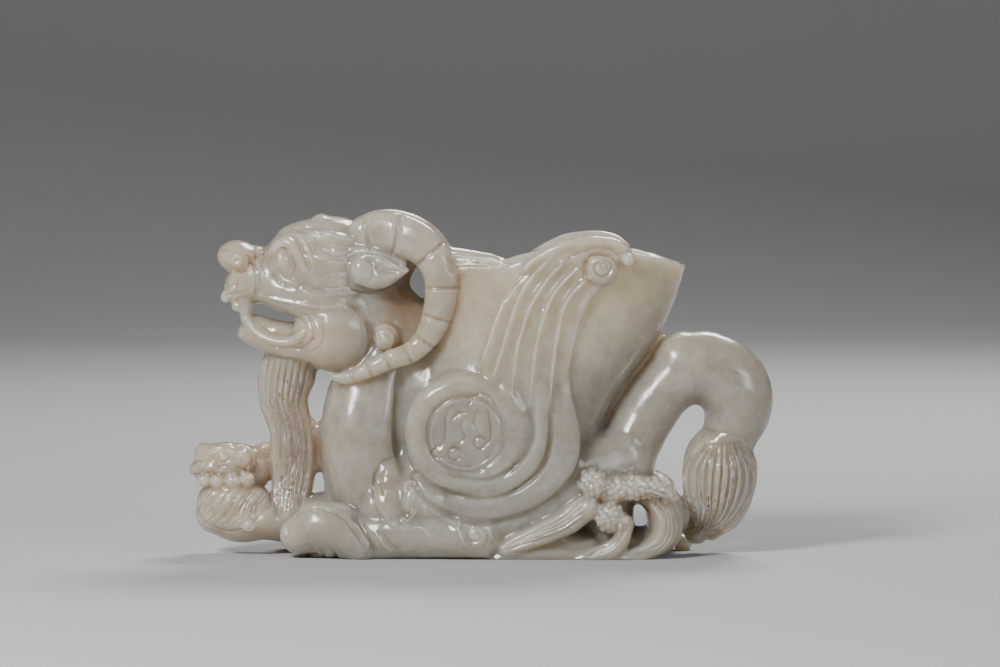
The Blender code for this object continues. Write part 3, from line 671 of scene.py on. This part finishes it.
def spiral(across, down, radius, inner, start, end, count=28):
    points = []
    for k in range(count + 1):
        t = math.radians(start + (end - start) * k / count)
        r = radius + (inner - radius) * k / count
        points.append((across + r * math.cos(t), down - r * math.sin(t)))
    return points


def circle(across, down, radius, start=0, end=360, count=20):
    return spiral(across, down, radius, radius, start, end, count)


def fine_lines():
    """Grooves, and threads where the depth is below 0: points, half breadth, depth, inner limit, stain."""
    lines = []

    def cut(points, breadth=2.0, depth=1.6, inner=0, stain_and_shade=0.0):
        lines.append((points, breadth, depth * RELIEF, inner, stain_and_shade))

    # nose, its wing and the folds of the muzzle
    cut(circle(240, 260, 11, 70, -110), 2.2, 2.4, 6)
    cut(circle(238, 259, 4, 0, 360, 10), 2.0, -1.5, 10)
    cut([(252, 257), (257, 276), (256, 294)], 2.2, 2.0, 10)
    cut([(260, 260), (265, 277), (263, 291)], 2.2, 1.5, 10)
    for k in range(3):
        cut([(254 + 7 * k, 244), (257 + 7 * k, 252), (256 + 7 * k, 259)], 2.0, 1.7)
    cut([(229, 270), (226, 280), (229, 289)], 2.0, 1.4)
    cut([(224, 283), (231, 285), (240, 283)], 1.8, 1.6)
    cut([(226, 293), (233, 293), (243, 290)], 1.8, 1.6)
    cut([(236, 302), (240, 297), (247, 296)], 1.8, 1.6)
    cut([(225, 250), (231, 249)], 1.2, 0.5, 0, 1.0)
    cut([(314, 336), (316, 336)], 1.2, 0.5, 20, 1.0)
    # lips
    cut([(258, 292), (281, 298), (305, 302), (329, 305), (344, 302)], 2.6, -1.7, 10)
    cut([(303, 287), (312, 292), (326, 293), (345, 291), (366, 290)], 2.6, -1.3, 15)
    cut([(258, 299), (281, 308), (298, 316)], 1.8, 1.2, 10)
    cut(circle(297, 327, 11, 75, -95), 2.0, 1.8, 20)
    cut(circle(297, 328, 18, 60, -100), 2.0, 1.5, 20)
    cut(circle(306, 331, 19, 70, -80), 1.9, 1.0, 20)
    cut([(249, 325), (258, 336), (270, 343), (284, 346), (298, 343), (309, 334)], 1.8, 1.0, 5)
    cut([(255, 318), (265, 330), (282, 335), (296, 334), (305, 327)], 1.7, -0.9, 12)
    cut([(262, 352), (282, 357), (304, 361), (324, 371)], 2.6, 2.2)
    # eye and brow ridges
    cut([(278, 262), (278, 251), (285, 246), (292, 252), (296, 264), (294, 273)], 1.7, 1.6, 20)
    cut([(278, 266), (285, 274), (293, 276)], 1.6, 1.2, 20)
    cut([(281, 238), (292, 236), (301, 245), (307, 258), (311, 270)], 1.8, 1.6, 15)
    cut([(297, 232), (306, 241), (312, 255), (316, 268)], 1.7, -1.3, 15)
    cut([(274, 272), (282, 281), (296, 286)], 1.8, 1.2, 20)
    # hair drawn back from the brow
    cut([(283, 233), (296, 228), (310, 233), (322, 243), (334, 249)], 1.8, 1.3, 16)
    cut([(303, 226), (316, 228), (330, 235), (348, 240)], 1.8, 1.3, 16)
    cut([(318, 240), (330, 252), (342, 254), (352, 250)], 1.7, 1.2, 16)
    cut([(314, 254), (322, 260), (334, 257), (350, 260)], 1.7, 1.1, 18)
    cut([(316, 268), (328, 272), (340, 268), (350, 272)], 1.7, 0.9, 18)
    cut([(326, 240), (338, 245), (350, 245)], 1.5, -1.0, 16)
    cut([(336, 279), (344, 285), (352, 287)], 1.7, -1.2, 20)
    cut([(306, 278), (316, 286), (332, 286), (350, 284)], 1.8, 1.0, 20)
    # ear
    cut([(347, 274), (348, 260), (358, 252), (376, 252), (394, 258), (409, 268)], 2.2, 1.8, 25)
    cut([(348, 276), (354, 288), (370, 291), (388, 286), (409, 271)], 2.2, 1.8, 25, 0.2)
    cut([(378, 259), (392, 261), (404, 268)], 1.5, -0.9, 35)
    cut([(370, 254), (373, 262), (372, 272), (367, 282)], 1.7, 0.8, 35, 0.1)
    # hair lobe behind the jaw
    cut(circle(385, 337, 12, 0, 360), 2.0, 2.0, 25)
    cut(circle(385, 337, 5, 0, 300), 1.6, 1.0, 25)
    # locks over the cup's front rim
    for k in range(4):
        cut([(450, 254 + 5 * k), (472, 256 + 4 * k), (486, 259 + 2.4 * k), (500, 262)], 1.6, 1.3, 25, 0.15)
    # medallion of the shoulder coil
    cut(circle(466, 429, 34, 0, 360, 40), 1.6, -1.0, 55)
    cut([(453, 413), (460, 408), (467, 407)], 1.6, 1.5, 60, 0.6)
    cut([(469, 400), (474, 392), (482, 389), (490, 392), (496, 401)], 1.6, 1.5, 60, 0.6)
    cut([(487, 404), (490, 418), (490, 433), (484, 441)], 1.6, 1.5, 60, 0.5)
    cut([(478, 404), (474, 416), (478, 427)], 1.6, 1.3, 60, 0.4)
    cut(circle(480, 437, 6, 0, 330, 14), 1.6, 1.5, 60, 0.3)
    cut(circle(455, 448, 6.5, 30, 340, 14), 1.6, 1.5, 60, 0.2)
    cut([(452, 401), (446, 412), (446, 425), (443, 438), (432, 446), (437, 452), (447, 451)],
        1.7, 1.5, 60, 0.3)
    cut([(466, 412), (461, 421), (465, 431), (459, 438)], 1.5, 1.2, 60, 0.5)
    # bright threads along the ridges of the wing
    for line in WING_RIDGES:
        cut(line, 1.7, -1.3, 55, 0.12)
    # wing scroll and bead
    cut(spiral(599, 264, 16, 3, 200, -330), 2.0, 2.2, 60, 0.1)
    cut(circle(627, 257, 7, 0, 360, 14), 1.6, 1.6, 55)
    cut([(560, 262), (574, 251), (592, 245), (608, 246), (618, 253)], 2.0, 1.6, 60)
    # paw
    cut([(288, 535), (290, 522), (300, 509), (316, 504), (330, 505), (344, 512), (355, 525), (364, 540)],
        2.2, 1.7, 30)
    cut([(356, 517), (364, 530), (370, 540)], 1.9, -1.5, 40)
    cut([(377, 526), (385, 538), (393, 546)], 1.9, -1.4, 40)
    cut([(383, 524), (391, 536), (400, 545)], 1.8, 1.2, 40)
    # leaf of hair with its old crack, hook and curls
    cut([(396, 453), (385, 457), (377, 468), (374, 482), (375, 495), (380, 508), (388, 518)], 1.8, 1.6, 40)
    cut([(387, 466), (382, 474), (383, 484), (385, 489)], 1.2, 0.8, 40, 1.0)
    cut([(415, 477), (408, 479), (406, 487)], 1.6, -1.5, 45, 0.2)
    cut([(400, 509), (407, 515), (412, 512), (418, 503)], 1.6, -1.5, 45, 0.2)
    cut([(404, 505), (408, 508), (414, 500)], 1.5, 1.2, 45)
    cut([(427, 500), (426, 505), (429, 509)], 1.5, -1.3, 45)
    cut([(423, 521), (430, 527), (438, 530)], 1.5, -1.2, 45)
    cut([(448, 520), (452, 530), (460, 541)], 1.5, 0.9, 45)
    # curl at the elbow
    cut(spiral(476, 529, 13, 2, -60, 480), 1.8, 1.8, 40)
    cut([(459, 513), (460, 529), (469, 541)], 1.7, -1.3, 40)
    cut([(487, 520), (492, 530), (498, 540)], 1.7, -1.4, 40)
    # stream and foam stems
    for k in range(4):
        cut([(506, 544 - 1.5 * k), (534, 535 - 3.2 * k), (562, 525 - 4.6 * k), (584, 510 - 6 * k)],
            1.9, 2.0, 35)
    for k in range(3):
        cut([(586, 549), (604 + k, 545 - 3 * k), (616 + 2 * k, 534 - 2 * k), (622 + 3 * k, 518)],
            1.5, 1.3, 35)
    # crest and curl of the great wave
    outer = ((654, 486), (670, 494), (680, 512), (680, 532), (670, 548), (650, 556))
    inner_curve = ((642, 500), (652, 504), (658, 514), (658, 527), (650, 538), (632, 545))
    for line in between(outer, inner_curve, 6):
        cut(line, 1.6, 1.1, 15)
    # brown seams at the head of the tuft
    for x, lean, tall in ((704, -2, 20), (711, -1, 23), (718, 0, 21), (726, 1, 22), (733, 2, 15)):
        cut([(x, 441), (x + lean, 441 + tall / 2), (x + lean, 441 + tall)], 1.1, 0.7, 0, 0.9)
    # cub: eye, brow, ear, mouth, and its coat combed down to the left
    cut([(219, 458), (222, 453), (227, 453), (230, 457), (226, 460), (221, 460)], 1.4, 1.4, 8, 0.2)
    cut([(206, 457), (212, 452), (221, 449), (230, 450), (236, 455)], 1.8, -1.3, 5)
    cut([(205, 462), (211, 458), (216, 460), (220, 465), (229, 464)], 1.6, 1.3, 5, 0.2)
    cut([(202, 467), (211, 465), (220, 469), (231, 469)], 1.8, -1.1, 5)
    cut([(212, 447), (219, 445), (226, 447)], 1.4, 1.0, 5)
    cut([(191, 473), (200, 474), (210, 471), (220, 474)], 1.5, 2.2, 3, 0.4)
    cut([(193, 464), (198, 460), (204, 463), (203, 469)], 1.4, 1.7, 3, 0.2)
    cut([(233, 449), (239, 446), (249, 449), (253, 459), (247, 468), (238, 466)], 1.7, 2.2, 5, 0.3)
    cut([(238, 452), (244, 451), (248, 457), (244, 464)], 1.6, -1.5, 5)
    cut([(241, 456), (243, 461)], 1.5, 1.5, 5, 0.3)
    for k in range(4):
        cut([(206 + 8 * k, 443), (211 + 8 * k, 445), (215 + 8 * k, 449)], 1.3, 1.4, 5)
    for k in range(17):
        x, z = 206 + 3.4 * k, 493 + 5 * math.sin(1.9 * k) + 0.25 * k
        cut([(x + 6, z - 4), (x - 1, z + 6), (x - 8 + 0.2 * k, z + 15)], 1.3, 1.5, 8)
        cut([(x + 9, z + 12), (x + 1, z + 19), (x - 5, z + 25)], 1.3, 1.3, 8)
    cut([(197, 508), (204, 519), (216, 526), (230, 529), (243, 526)], 1.8, 2.0, 5, 0.2)
    cut(circle(250, 523, 8, 0, 360, 14), 1.5, 1.5, 10)
    cut([(262, 484), (268, 492), (262, 500), (256, 508), (260, 516)], 1.6, 1.5, 10)
    return lines


def strand_lines():
    """Fine hair between the bold grooves of beard and tail tuft."""
    lines = [(line, 1.5, 2.0, 0, 0.15) for line in beard_strands(15, (273, 512), (302, 505))]
    for k, line in enumerate(between(TUFT_LEFT, TUFT_RIGHT, 19)):
        lines.append((line, 1.5, 1.8, 0, 0.35 if k % 2 else 0.0))
    lines.append((((706, 428), (720, 431), (734, 433), (748, 441)), 2.0, 1.0, 10, 0.2))
    return lines


def bubbles():
    """Foam: small domes on the wave heads, and a row of mane knobs on the cub, by a fixed rule."""
    spots = []
    heads = ((593, 480, 15, 22), (609, 512, 16, 24), (612, 485, 12, 14), (632, 483, 13, 17),
             (650, 483, 12, 14), (666, 489, 10, 10))
    for across, down, reach, count in heads:
        for k in range(count):
            r = reach * math.sqrt((k + 0.5) / count)
            a = k * GOLDEN_ANGLE
            size = 2.8 + 1.1 * math.sin(3.7 * k + across)
            spots.append((across + r * math.cos(a), down + r * math.sin(a), size))
    for k in range(7):
        spots.append((243 + 5.5 * math.cos(2.4 * k) * (k % 3), 478 + 3 * math.sin(2.4 * k) * (k % 3), 2.6))
    return spots


def distance(across, down, line):
    return np.min(np.hypot(across[:, None] - line[:, 0], down[:, None] - line[:, 1]), axis=1)


def refine(ob, zones, lines):
    """Split the skin finer in zones of (left, top, right, bottom, inner depth) and along the fine lines."""
    places, normals, across, down, deep = read_places(ob.data)
    close = np.zeros(len(places), bool)
    for left, top, right, bottom, inner in zones:
        close |= in_box(across, down, left, top, right, bottom) & (deep > inner)
    for points, breadth, depth, inner, strength in lines:
        line = smooth_curve(points, 12)[:, :2]
        low, high = line.min(axis=0) - 3, line.max(axis=0) + 3
        near = np.where(in_box(across, down, *low, *high) & (deep > inner) & ~close)[0]
        close[near[distance(across[near], down[near], line) < breadth + 0.9]] = True
    bm = bmesh.new()
    bm.from_mesh(ob.data)
    edges = [edge for edge in bm.edges if close[edge.verts[0].index] and close[edge.verts[1].index]]
    bmesh.ops.subdivide_edges(bm, edges=edges, cuts=1, use_grid_fill=True)
    bm.to_mesh(ob.data)
    bm.free()


def raise_bubbles(ob, spots, inner):
    """Small domes standing on the skin, crowded ones keeping the creases between them."""
    places, normals, across, down, deep = read_places(ob.data)
    rise = np.zeros(len(places))
    for x, z, size in spots:
        near = np.where((np.abs(across - x) < size) & (np.abs(down - z) < size) & (deep > inner))[0]
        d = ((across[near] - x) ** 2 + (down[near] - z) ** 2) / size**2
        rise[near] = np.maximum(rise[near], np.sqrt(np.clip(1 - d, 0, 1)) * size * 0.72)
    facing = np.clip(normals[:, 1] * np.sign(places[:, 1]) * 2.2, 0, 1)
    places += normals * (rise * facing * STEP)[:, None]
    put_places(ob, places)


def comb(ob, box, turned, spacing, depth):
    """Grooves set side by side on faces turned one way, in a box of (left, top, right, bottom)."""
    places, normals, across, down, deep = read_places(ob.data)
    left, top, right, bottom = box
    inside = np.clip((across - left) / 4, 0, 1) * np.clip((right - across) / 4, 0, 1)
    inside *= np.clip((down - top) / 8, 0, 1) * np.clip((bottom - down) / 8, 0, 1)
    facing = np.clip(1.6 * (normals[:, 0] * turned[0] + normals[:, 2] * turned[1]) - 0.3, 0, 1)
    wander = places[:, 1] / STEP + 1.2 * np.sin(down / 17)
    line = np.clip(np.cos(2 * math.pi * wander / spacing), 0, 1) ** 2
    places -= normals * (depth * line * inside * facing * STEP)[:, None]
    put_places(ob, places)


def tint(across, down, spots):
    """Strength of soft spots of (across, down, reach across, reach down, strength) at each point."""
    values = np.zeros(len(across))
    for x, z, rx, rz, strength in spots:
        values = np.maximum(values, strength * np.exp(-(((across - x) / rx) ** 2 + ((down - z) / rz) ** 2)))
    return values


def hand_polish(ob):
    """The slight unevenness of a surface ground by hand."""
    places, normals = mesh_arrays(ob.data)
    wave = np.zeros(len(places))
    for k, (size, tall, turn, other) in enumerate((
        (0.021, 0.00009, (1.0, 0.7, 0.3), (0.2, -0.9, 1.0)),
        (0.011, 0.00006, (0.4, 1.0, -0.8), (1.0, -0.3, 0.6)),
        (0.0063, 0.00004, (-0.7, 0.5, 1.0), (0.6, 1.0, 0.2)),
    )):
        turn, other = (np.array(way) * 2 * math.pi / size for way in (turn, other))
        wave += tall * np.sin(places @ turn + k) * np.sin(places @ other + 2.0 * k + 1.0)
    places += normals * wave[:, None]
    put_places(ob, places)


def hollowness(mesh, rounds=3):
    """How far each point of the skin lies in a groove (above 0) or on a ridge (below 0)."""
    places, normals = mesh_arrays(mesh)
    ends = np.empty(len(mesh.edges) * 2, int)
    mesh.edges.foreach_get("vertices", ends)
    one, two = ends.reshape(-1, 2).T
    count = np.bincount(one, minlength=len(places)) + np.bincount(two, minlength=len(places))

    def around(values):
        total = np.bincount(one, values[two], len(places)) + np.bincount(two, values[one], len(places))
        return total / np.maximum(count, 1)

    length = np.linalg.norm(places[one] - places[two], axis=1)
    size = np.bincount(one, length, len(places)) + np.bincount(two, length, len(places))
    size /= np.maximum(count, 1)
    middle = np.column_stack([around(places[:, k]) for k in range(3)])
    bend = ((middle - places) * normals).sum(axis=1) / np.maximum(size, 1e-6) ** 2 * 0.0009
    for turn in range(rounds):
        bend = 0.5 * bend + 0.5 * around(bend)
    return np.clip(bend * 2.2, -1, 1)


def slab_cutter():
    bm = bmesh.new()
    bmesh.ops.create_cube(bm, size=1.0)
    for v in bm.verts:
        v.co = (v.co.x * LENGTH * 1.5, v.co.y * LENGTH, v.co.z * 0.03 - 0.015)
    ob = add_object("ground_slab", bpy.data.meshes.new("ground_slab"))
    bm.to_mesh(ob.data)
    bm.free()
    return ob


def take_away(ob, cutter):
    cut = ob.modifiers.new("cut", "BOOLEAN")
    cut.operation = "DIFFERENCE"
    cut.solver = "MANIFOLD"
    cut.object = cutter
    settle(ob)
    bpy.data.objects.remove(cutter, do_unlink=True)


# Zones of the side drawing: left, top, right, bottom and for two of them an inner depth
FOAM_HEADS = (578, 462, 682, 532, 30)
CUB_PAWS = (196, 470, 262, 492, 6)
BEARD_FRONT = (244, 354, 300, 512)
TUFT_BACK = (735, 446, 790, 541)
WAVE_END = (634, 470, 690, 546)

# The whole carving as one skin, then its cup, its carving and its flat base
stone = mesh_object("carved_jade_beast", body_forms())
fuse(stone, ROUGH_GRAIN, 6)
join_forms(stone, head_forms() + beard_forms() + limb_forms() + wing_forms() + wave_forms())
fuse(stone, SKIN_GRAIN, 4)
take_away(stone, mesh_object("cup_hollow", [cup_form(hollow_rows_of_cup())]))
fuse(stone, SKIN_GRAIN, 2)
engrave(stone, flutes(), 1.0)
engrave(stone, leaves(), 0.8)
engrave(stone, carved_lines())
fine_grooves = fine_lines() + strand_lines()
refine(stone, (FOAM_HEADS, CUB_PAWS), fine_grooves)
engrave(stone, [line[:4] for line in fine_grooves])
comb(stone, BEARD_FRONT, (-1, 0), 7, 1.6)
comb(stone, TUFT_BACK, (1, 0), 8, 2.0)
comb(stone, WAVE_END, (0.8, 0.6), 8, 1.9)
raise_bubbles(stone, bubbles(), 8)
hand_polish(stone)
take_away(stone, slab_cutter())
thin = stone.modifiers.new("thin", "DECIMATE")
thin.ratio = min(1.0, SKIN_TRIANGLES / sum(len(p.vertices) - 2 for p in stone.data.polygons))
thin.use_collapse_triangulate = True
settle(stone)

# Keep the skin inside the solid's box
places, normals, across, down, deep = read_places(stone.data)
places = np.clip(places, np.array(CAD_BOX[0]) + 1e-5, np.array(CAD_BOX[1]) - 1e-5)
places[:, 2] = np.where(places[:, 2] < 2e-5, 0.0, places[:, 2])
put_places(stone, places)

# Tints of the stone, held on its points: a warmer tone in soft spots, and brown that is partly real stain
# (joints of the horn, chipped base, crack, seams) and partly painted shade in recesses
warm = tint(across, down, (
    (285, 430, 34, 90, 0.8), (232, 500, 60, 60, 0.8), (240, 275, 30, 45, 0.8), (715, 505, 40, 55, 0.6),
    (470, 310, 60, 60, 0.5), (640, 515, 50, 50, 0.45), (400, 340, 40, 50, 0.5), (385, 475, 25, 40, 0.15),
    (310, 335, 60, 50, 0.85), (540, 548, 80, 14, 0.5), (640, 290, 80, 60, 0.4), (300, 260, 50, 40, 0.6)))
# brown spots: painted shade in the horn loop's recess, the web under the beard, the wave's curl and the
# creases beside the beard, behind the cub and under the foam; real stain at the chipped base, the leaf's
# crack and the head of the tuft
stain_and_shade = tint(across, down, (
    (404, 307, 20, 34, 1.0), (545, 553, 34, 3, 0.6), (316, 448, 7, 30, 0.8), (318, 395, 10, 26, 0.3),
    (388, 477, 8, 14, 0.5), (716, 452, 20, 12, 0.4), (258, 462, 12, 22, 0.5), (640, 515, 16, 16, 0.4),
    (592, 531, 20, 10, 0.35)))
for x, z, tall, dx, dz, size in horn_joints(HORN_JOINTS[1:6]):
    along = ((across - x) * dx + (down - z) * dz) / size
    cross = ((across - x) * -dz + (down - z) * dx) / size
    stain_and_shade = np.maximum(stain_and_shade, 0.55 * np.exp(-((along / 1.3) ** 2)) * (np.abs(cross) < tall + 3) * (deep > 25))
for points, breadth, depth, inner, strength in fine_grooves:
    if strength:
        line = smooth_curve(points, 4)
        x, z = line[:, 0].mean(), line[:, 1].mean()
        near = np.where(in_box(across, down, x - 60, z - 60, x + 60, z + 60) & (deep > inner))[0]
        d = distance(across[near], down[near], line)
        stain_and_shade[near] = np.maximum(stain_and_shade[near], strength * np.exp(-((d / 1.1) ** 2)))
# groove and ridge come from how the skin bends: painted shade in the grooves and a painted highlight on the
# ridges
hollow = hollowness(stone.data)
for name, values in (("warm", warm), ("stain_and_shade", stain_and_shade), ("groove", np.clip(hollow, 0, 1)),
                     ("ridge", np.clip(-hollow, 0, 1))):
    layer = stone.data.attributes.new(name, "FLOAT", "POINT")
    layer.data.foreach_set("value", values.astype(np.float32))

for p in stone.data.polygons:
    p.use_smooth = True


# How strongly jade bends light, and how far light reaches into it in metres
JADE_IOR = 1.61
LIGHT_REACH = 0.022


def fill(node, values):
    """Give inputs of a node their values, or the outputs of other nodes."""
    for name, value in values.items():
        if isinstance(value, bpy.types.NodeSocket):
            node.id_data.links.new(value, node.inputs[name])
        else:
            node.inputs[name].default_value = value


def jade_material():
    mat = bpy.data.materials.new("polished_jade")
    mat.use_nodes = True
    nodes = mat.node_tree.nodes

    def add(kind, values, **options):
        node = nodes.new("ShaderNode" + kind)
        for name, value in options.items():
            setattr(node, name, value)
        fill(node, values)
        return node

    place = add("TexCoord", {}).outputs["Object"]

    def noise(scale, detail, rough, distortion=0.0):
        return add("TexNoise", {"Scale": scale, "Detail": detail, "Roughness": rough,
                                "Distortion": distortion, "Vector": place}).outputs["Fac"]

    def grey(value):
        return (value, value, value, 1)

    def ramp(source, *stops):
        r = add("ValToRGB", {"Fac": source})
        while len(r.color_ramp.elements) < len(stops):
            r.color_ramp.elements.new(0.5)
        for element, (position, colour) in zip(r.color_ramp.elements, stops):
            element.position = position
            element.color = colour
        return r.outputs["Color"]

    def blend(kind, factor, one, two):
        return add("Mix", {0: factor, 6: one, 7: two}, data_type="RGBA", blend_type=kind).outputs[2]

    def attribute(name):
        return add("Attribute", {}, attribute_name=name).outputs["Fac"]

    # cloudy body of the stone
    clouds = ramp(noise(38, 5, 0.55, 0.6), (0.28, (0.335, 0.308, 0.266, 1)),
                  (0.5, (0.38, 0.353, 0.309, 1)), (0.72, (0.445, 0.42, 0.374, 1)))
    mottle = ramp(noise(300, 6, 0.65), (0.36, (0.84, 0.83, 0.81, 1)), (0.60, grey(1)))
    colour = blend("MULTIPLY", 1.0, clouds, mottle)
    # warm zones and brown zones broken up by noise (the brown partly real stain, partly painted shade in
    # recesses), painted shade in the grooves, painted highlight paling the ridges, tiny dark flecks
    patchy = ramp(noise(120, 4, 0.6), (0.3, grey(0.35)), (0.65, grey(1)))
    flecks = ramp(noise(900, 2, 0.5), (0.70, grey(0)), (0.76, grey(1)))
    for source, strength, tone in (
        (attribute("warm"), patchy, (0.47, 0.375, 0.27, 1)),
        # brown that is partly real stain and partly painted shade in recesses
        (attribute("stain_and_shade"), patchy, (0.27, 0.165, 0.085, 1)),
        # painted shade in the grooves, painted highlight on the ridges
        (attribute("groove"), 0.42, (0.31, 0.235, 0.16, 1)),
        (attribute("ridge"), 0.30, (0.74, 0.71, 0.65, 1)),
        (flecks, 0.28, (0.45, 0.36, 0.27, 1)),
    ):
        share = add("Math", {0: source, 1: strength}, operation="MULTIPLY").outputs[0]
        colour = blend("MIX", share, colour, tone)
    gloss = ramp(noise(150, 4, 0.6), (0.3, grey(0.13)), (0.7, grey(0.26)))
    # faint orange-peel of the polish and fine pits
    bump = add("Bump", {"Strength": 0.22, "Distance": 0.0003, "Height": noise(520, 5, 0.62)})
    fill(nodes["Principled BSDF"], {
        "Base Color": colour, "Roughness": gloss, "Normal": bump.outputs["Normal"], "IOR": JADE_IOR,
        "Subsurface Weight": 1.0, "Subsurface Radius": (1.0, 0.86, 0.66),
        "Subsurface Scale": LIGHT_REACH, "Subsurface Anisotropy": 0.4,
    })
    return mat


stone.data.materials.clear()
stone.data.materials.append(jade_material())
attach(stone, "root")
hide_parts("jade_beast")

# Pale floor that runs up into the backdrop, in metres
FLOOR_HALF_WIDTH = 2.6
FLOOR_FRONT = -1.9
BEND_START = 1.1
BEND_RADIUS = 0.8
BACKDROP_TOP = 2.4
bm = bmesh.new()
profile = [(FLOOR_FRONT, 0.0), (BEND_START, 0.0)]
for a in np.radians(range(6, 91, 6)):
    profile.append((BEND_START + BEND_RADIUS * math.sin(a), BEND_RADIUS - BEND_RADIUS * math.cos(a)))
profile.append((BEND_START + BEND_RADIUS, BACKDROP_TOP))
columns = [[bm.verts.new((x, y, z)) for y, z in profile] for x in (-FLOOR_HALF_WIDTH, FLOOR_HALF_WIDTH)]
for k in range(len(profile) - 1):
    bm.faces.new((columns[0][k], columns[1][k], columns[1][k + 1], columns[0][k + 1]))
floor = add_object("floor", bpy.data.meshes.new("floor"))
bm.to_mesh(floor.data)
bm.free()
for p in floor.data.polygons:
    p.use_smooth = True
paper = bpy.data.materials.new("pale_paper")
paper.use_nodes = True
fill(paper.node_tree.nodes["Principled BSDF"], {"Base Color": (0.50, 0.50, 0.50, 1), "Roughness": 0.85})
floor.data.materials.append(paper)


def softbox(name, place, target, size, power, colour=(1, 1, 1)):
    light = bpy.data.lights.new(name, "AREA")
    light.shape = "RECTANGLE"
    light.size, light.size_y = size
    light.energy = power
    light.color = colour
    ob = add_object(name, light)
    ob.location = place
    ob.rotation_euler = (Vector(target) - Vector(place)).to_track_quat("-Z", "Y").to_euler()


softbox("key_light", (-0.44, -0.70, 0.56), (0.0, 0.0, 0.05), (0.24, 0.24), 11.0, (1.0, 0.985, 0.96))
softbox("fill_light", (0.90, -0.80, 0.45), (0.0, 0.0, 0.04), (0.5, 0.4), 3.2, (0.96, 0.98, 1.0))
softbox("back_light", (0.25, 0.70, 0.75), (0.0, 0.0, 0.05), (0.4, 0.3), 8.0)

world = bpy.data.worlds.new("soft_grey")
bpy.context.scene.world = world
world.use_nodes = True
fill(world.node_tree.nodes["Background"], {"Color": (0.62, 0.64, 0.66, 1), "Strength": 0.15})

# The camera looks straight at the middle of the drawing, from a little above
DRAWING_WIDTH = 1000
DRAWING_HEIGHT = 667
CAMERA_DISTANCE = 1.6
CAMERA_RISE = math.radians(3.0)
camera = bpy.data.cameras.new("camera")
camera.sensor_width = 36.0
camera.lens = camera.sensor_width * CAMERA_DISTANCE / (DRAWING_WIDTH * STEP)
view = add_object("camera", camera)
aim = Vector(((DRAWING_WIDTH / 2 - DRAWN_MIDDLE) * STEP, 0.0, (DRAWN_BASE - DRAWING_HEIGHT / 2) * STEP))
view.location = aim + Vector((0.0, -math.cos(CAMERA_RISE), math.sin(CAMERA_RISE))) * CAMERA_DISTANCE
view.rotation_euler = (aim - view.location).to_track_quat("-Z", "Y").to_euler()
bpy.context.scene.camera = view
bpy.context.scene.view_settings.view_transform = "AgX"
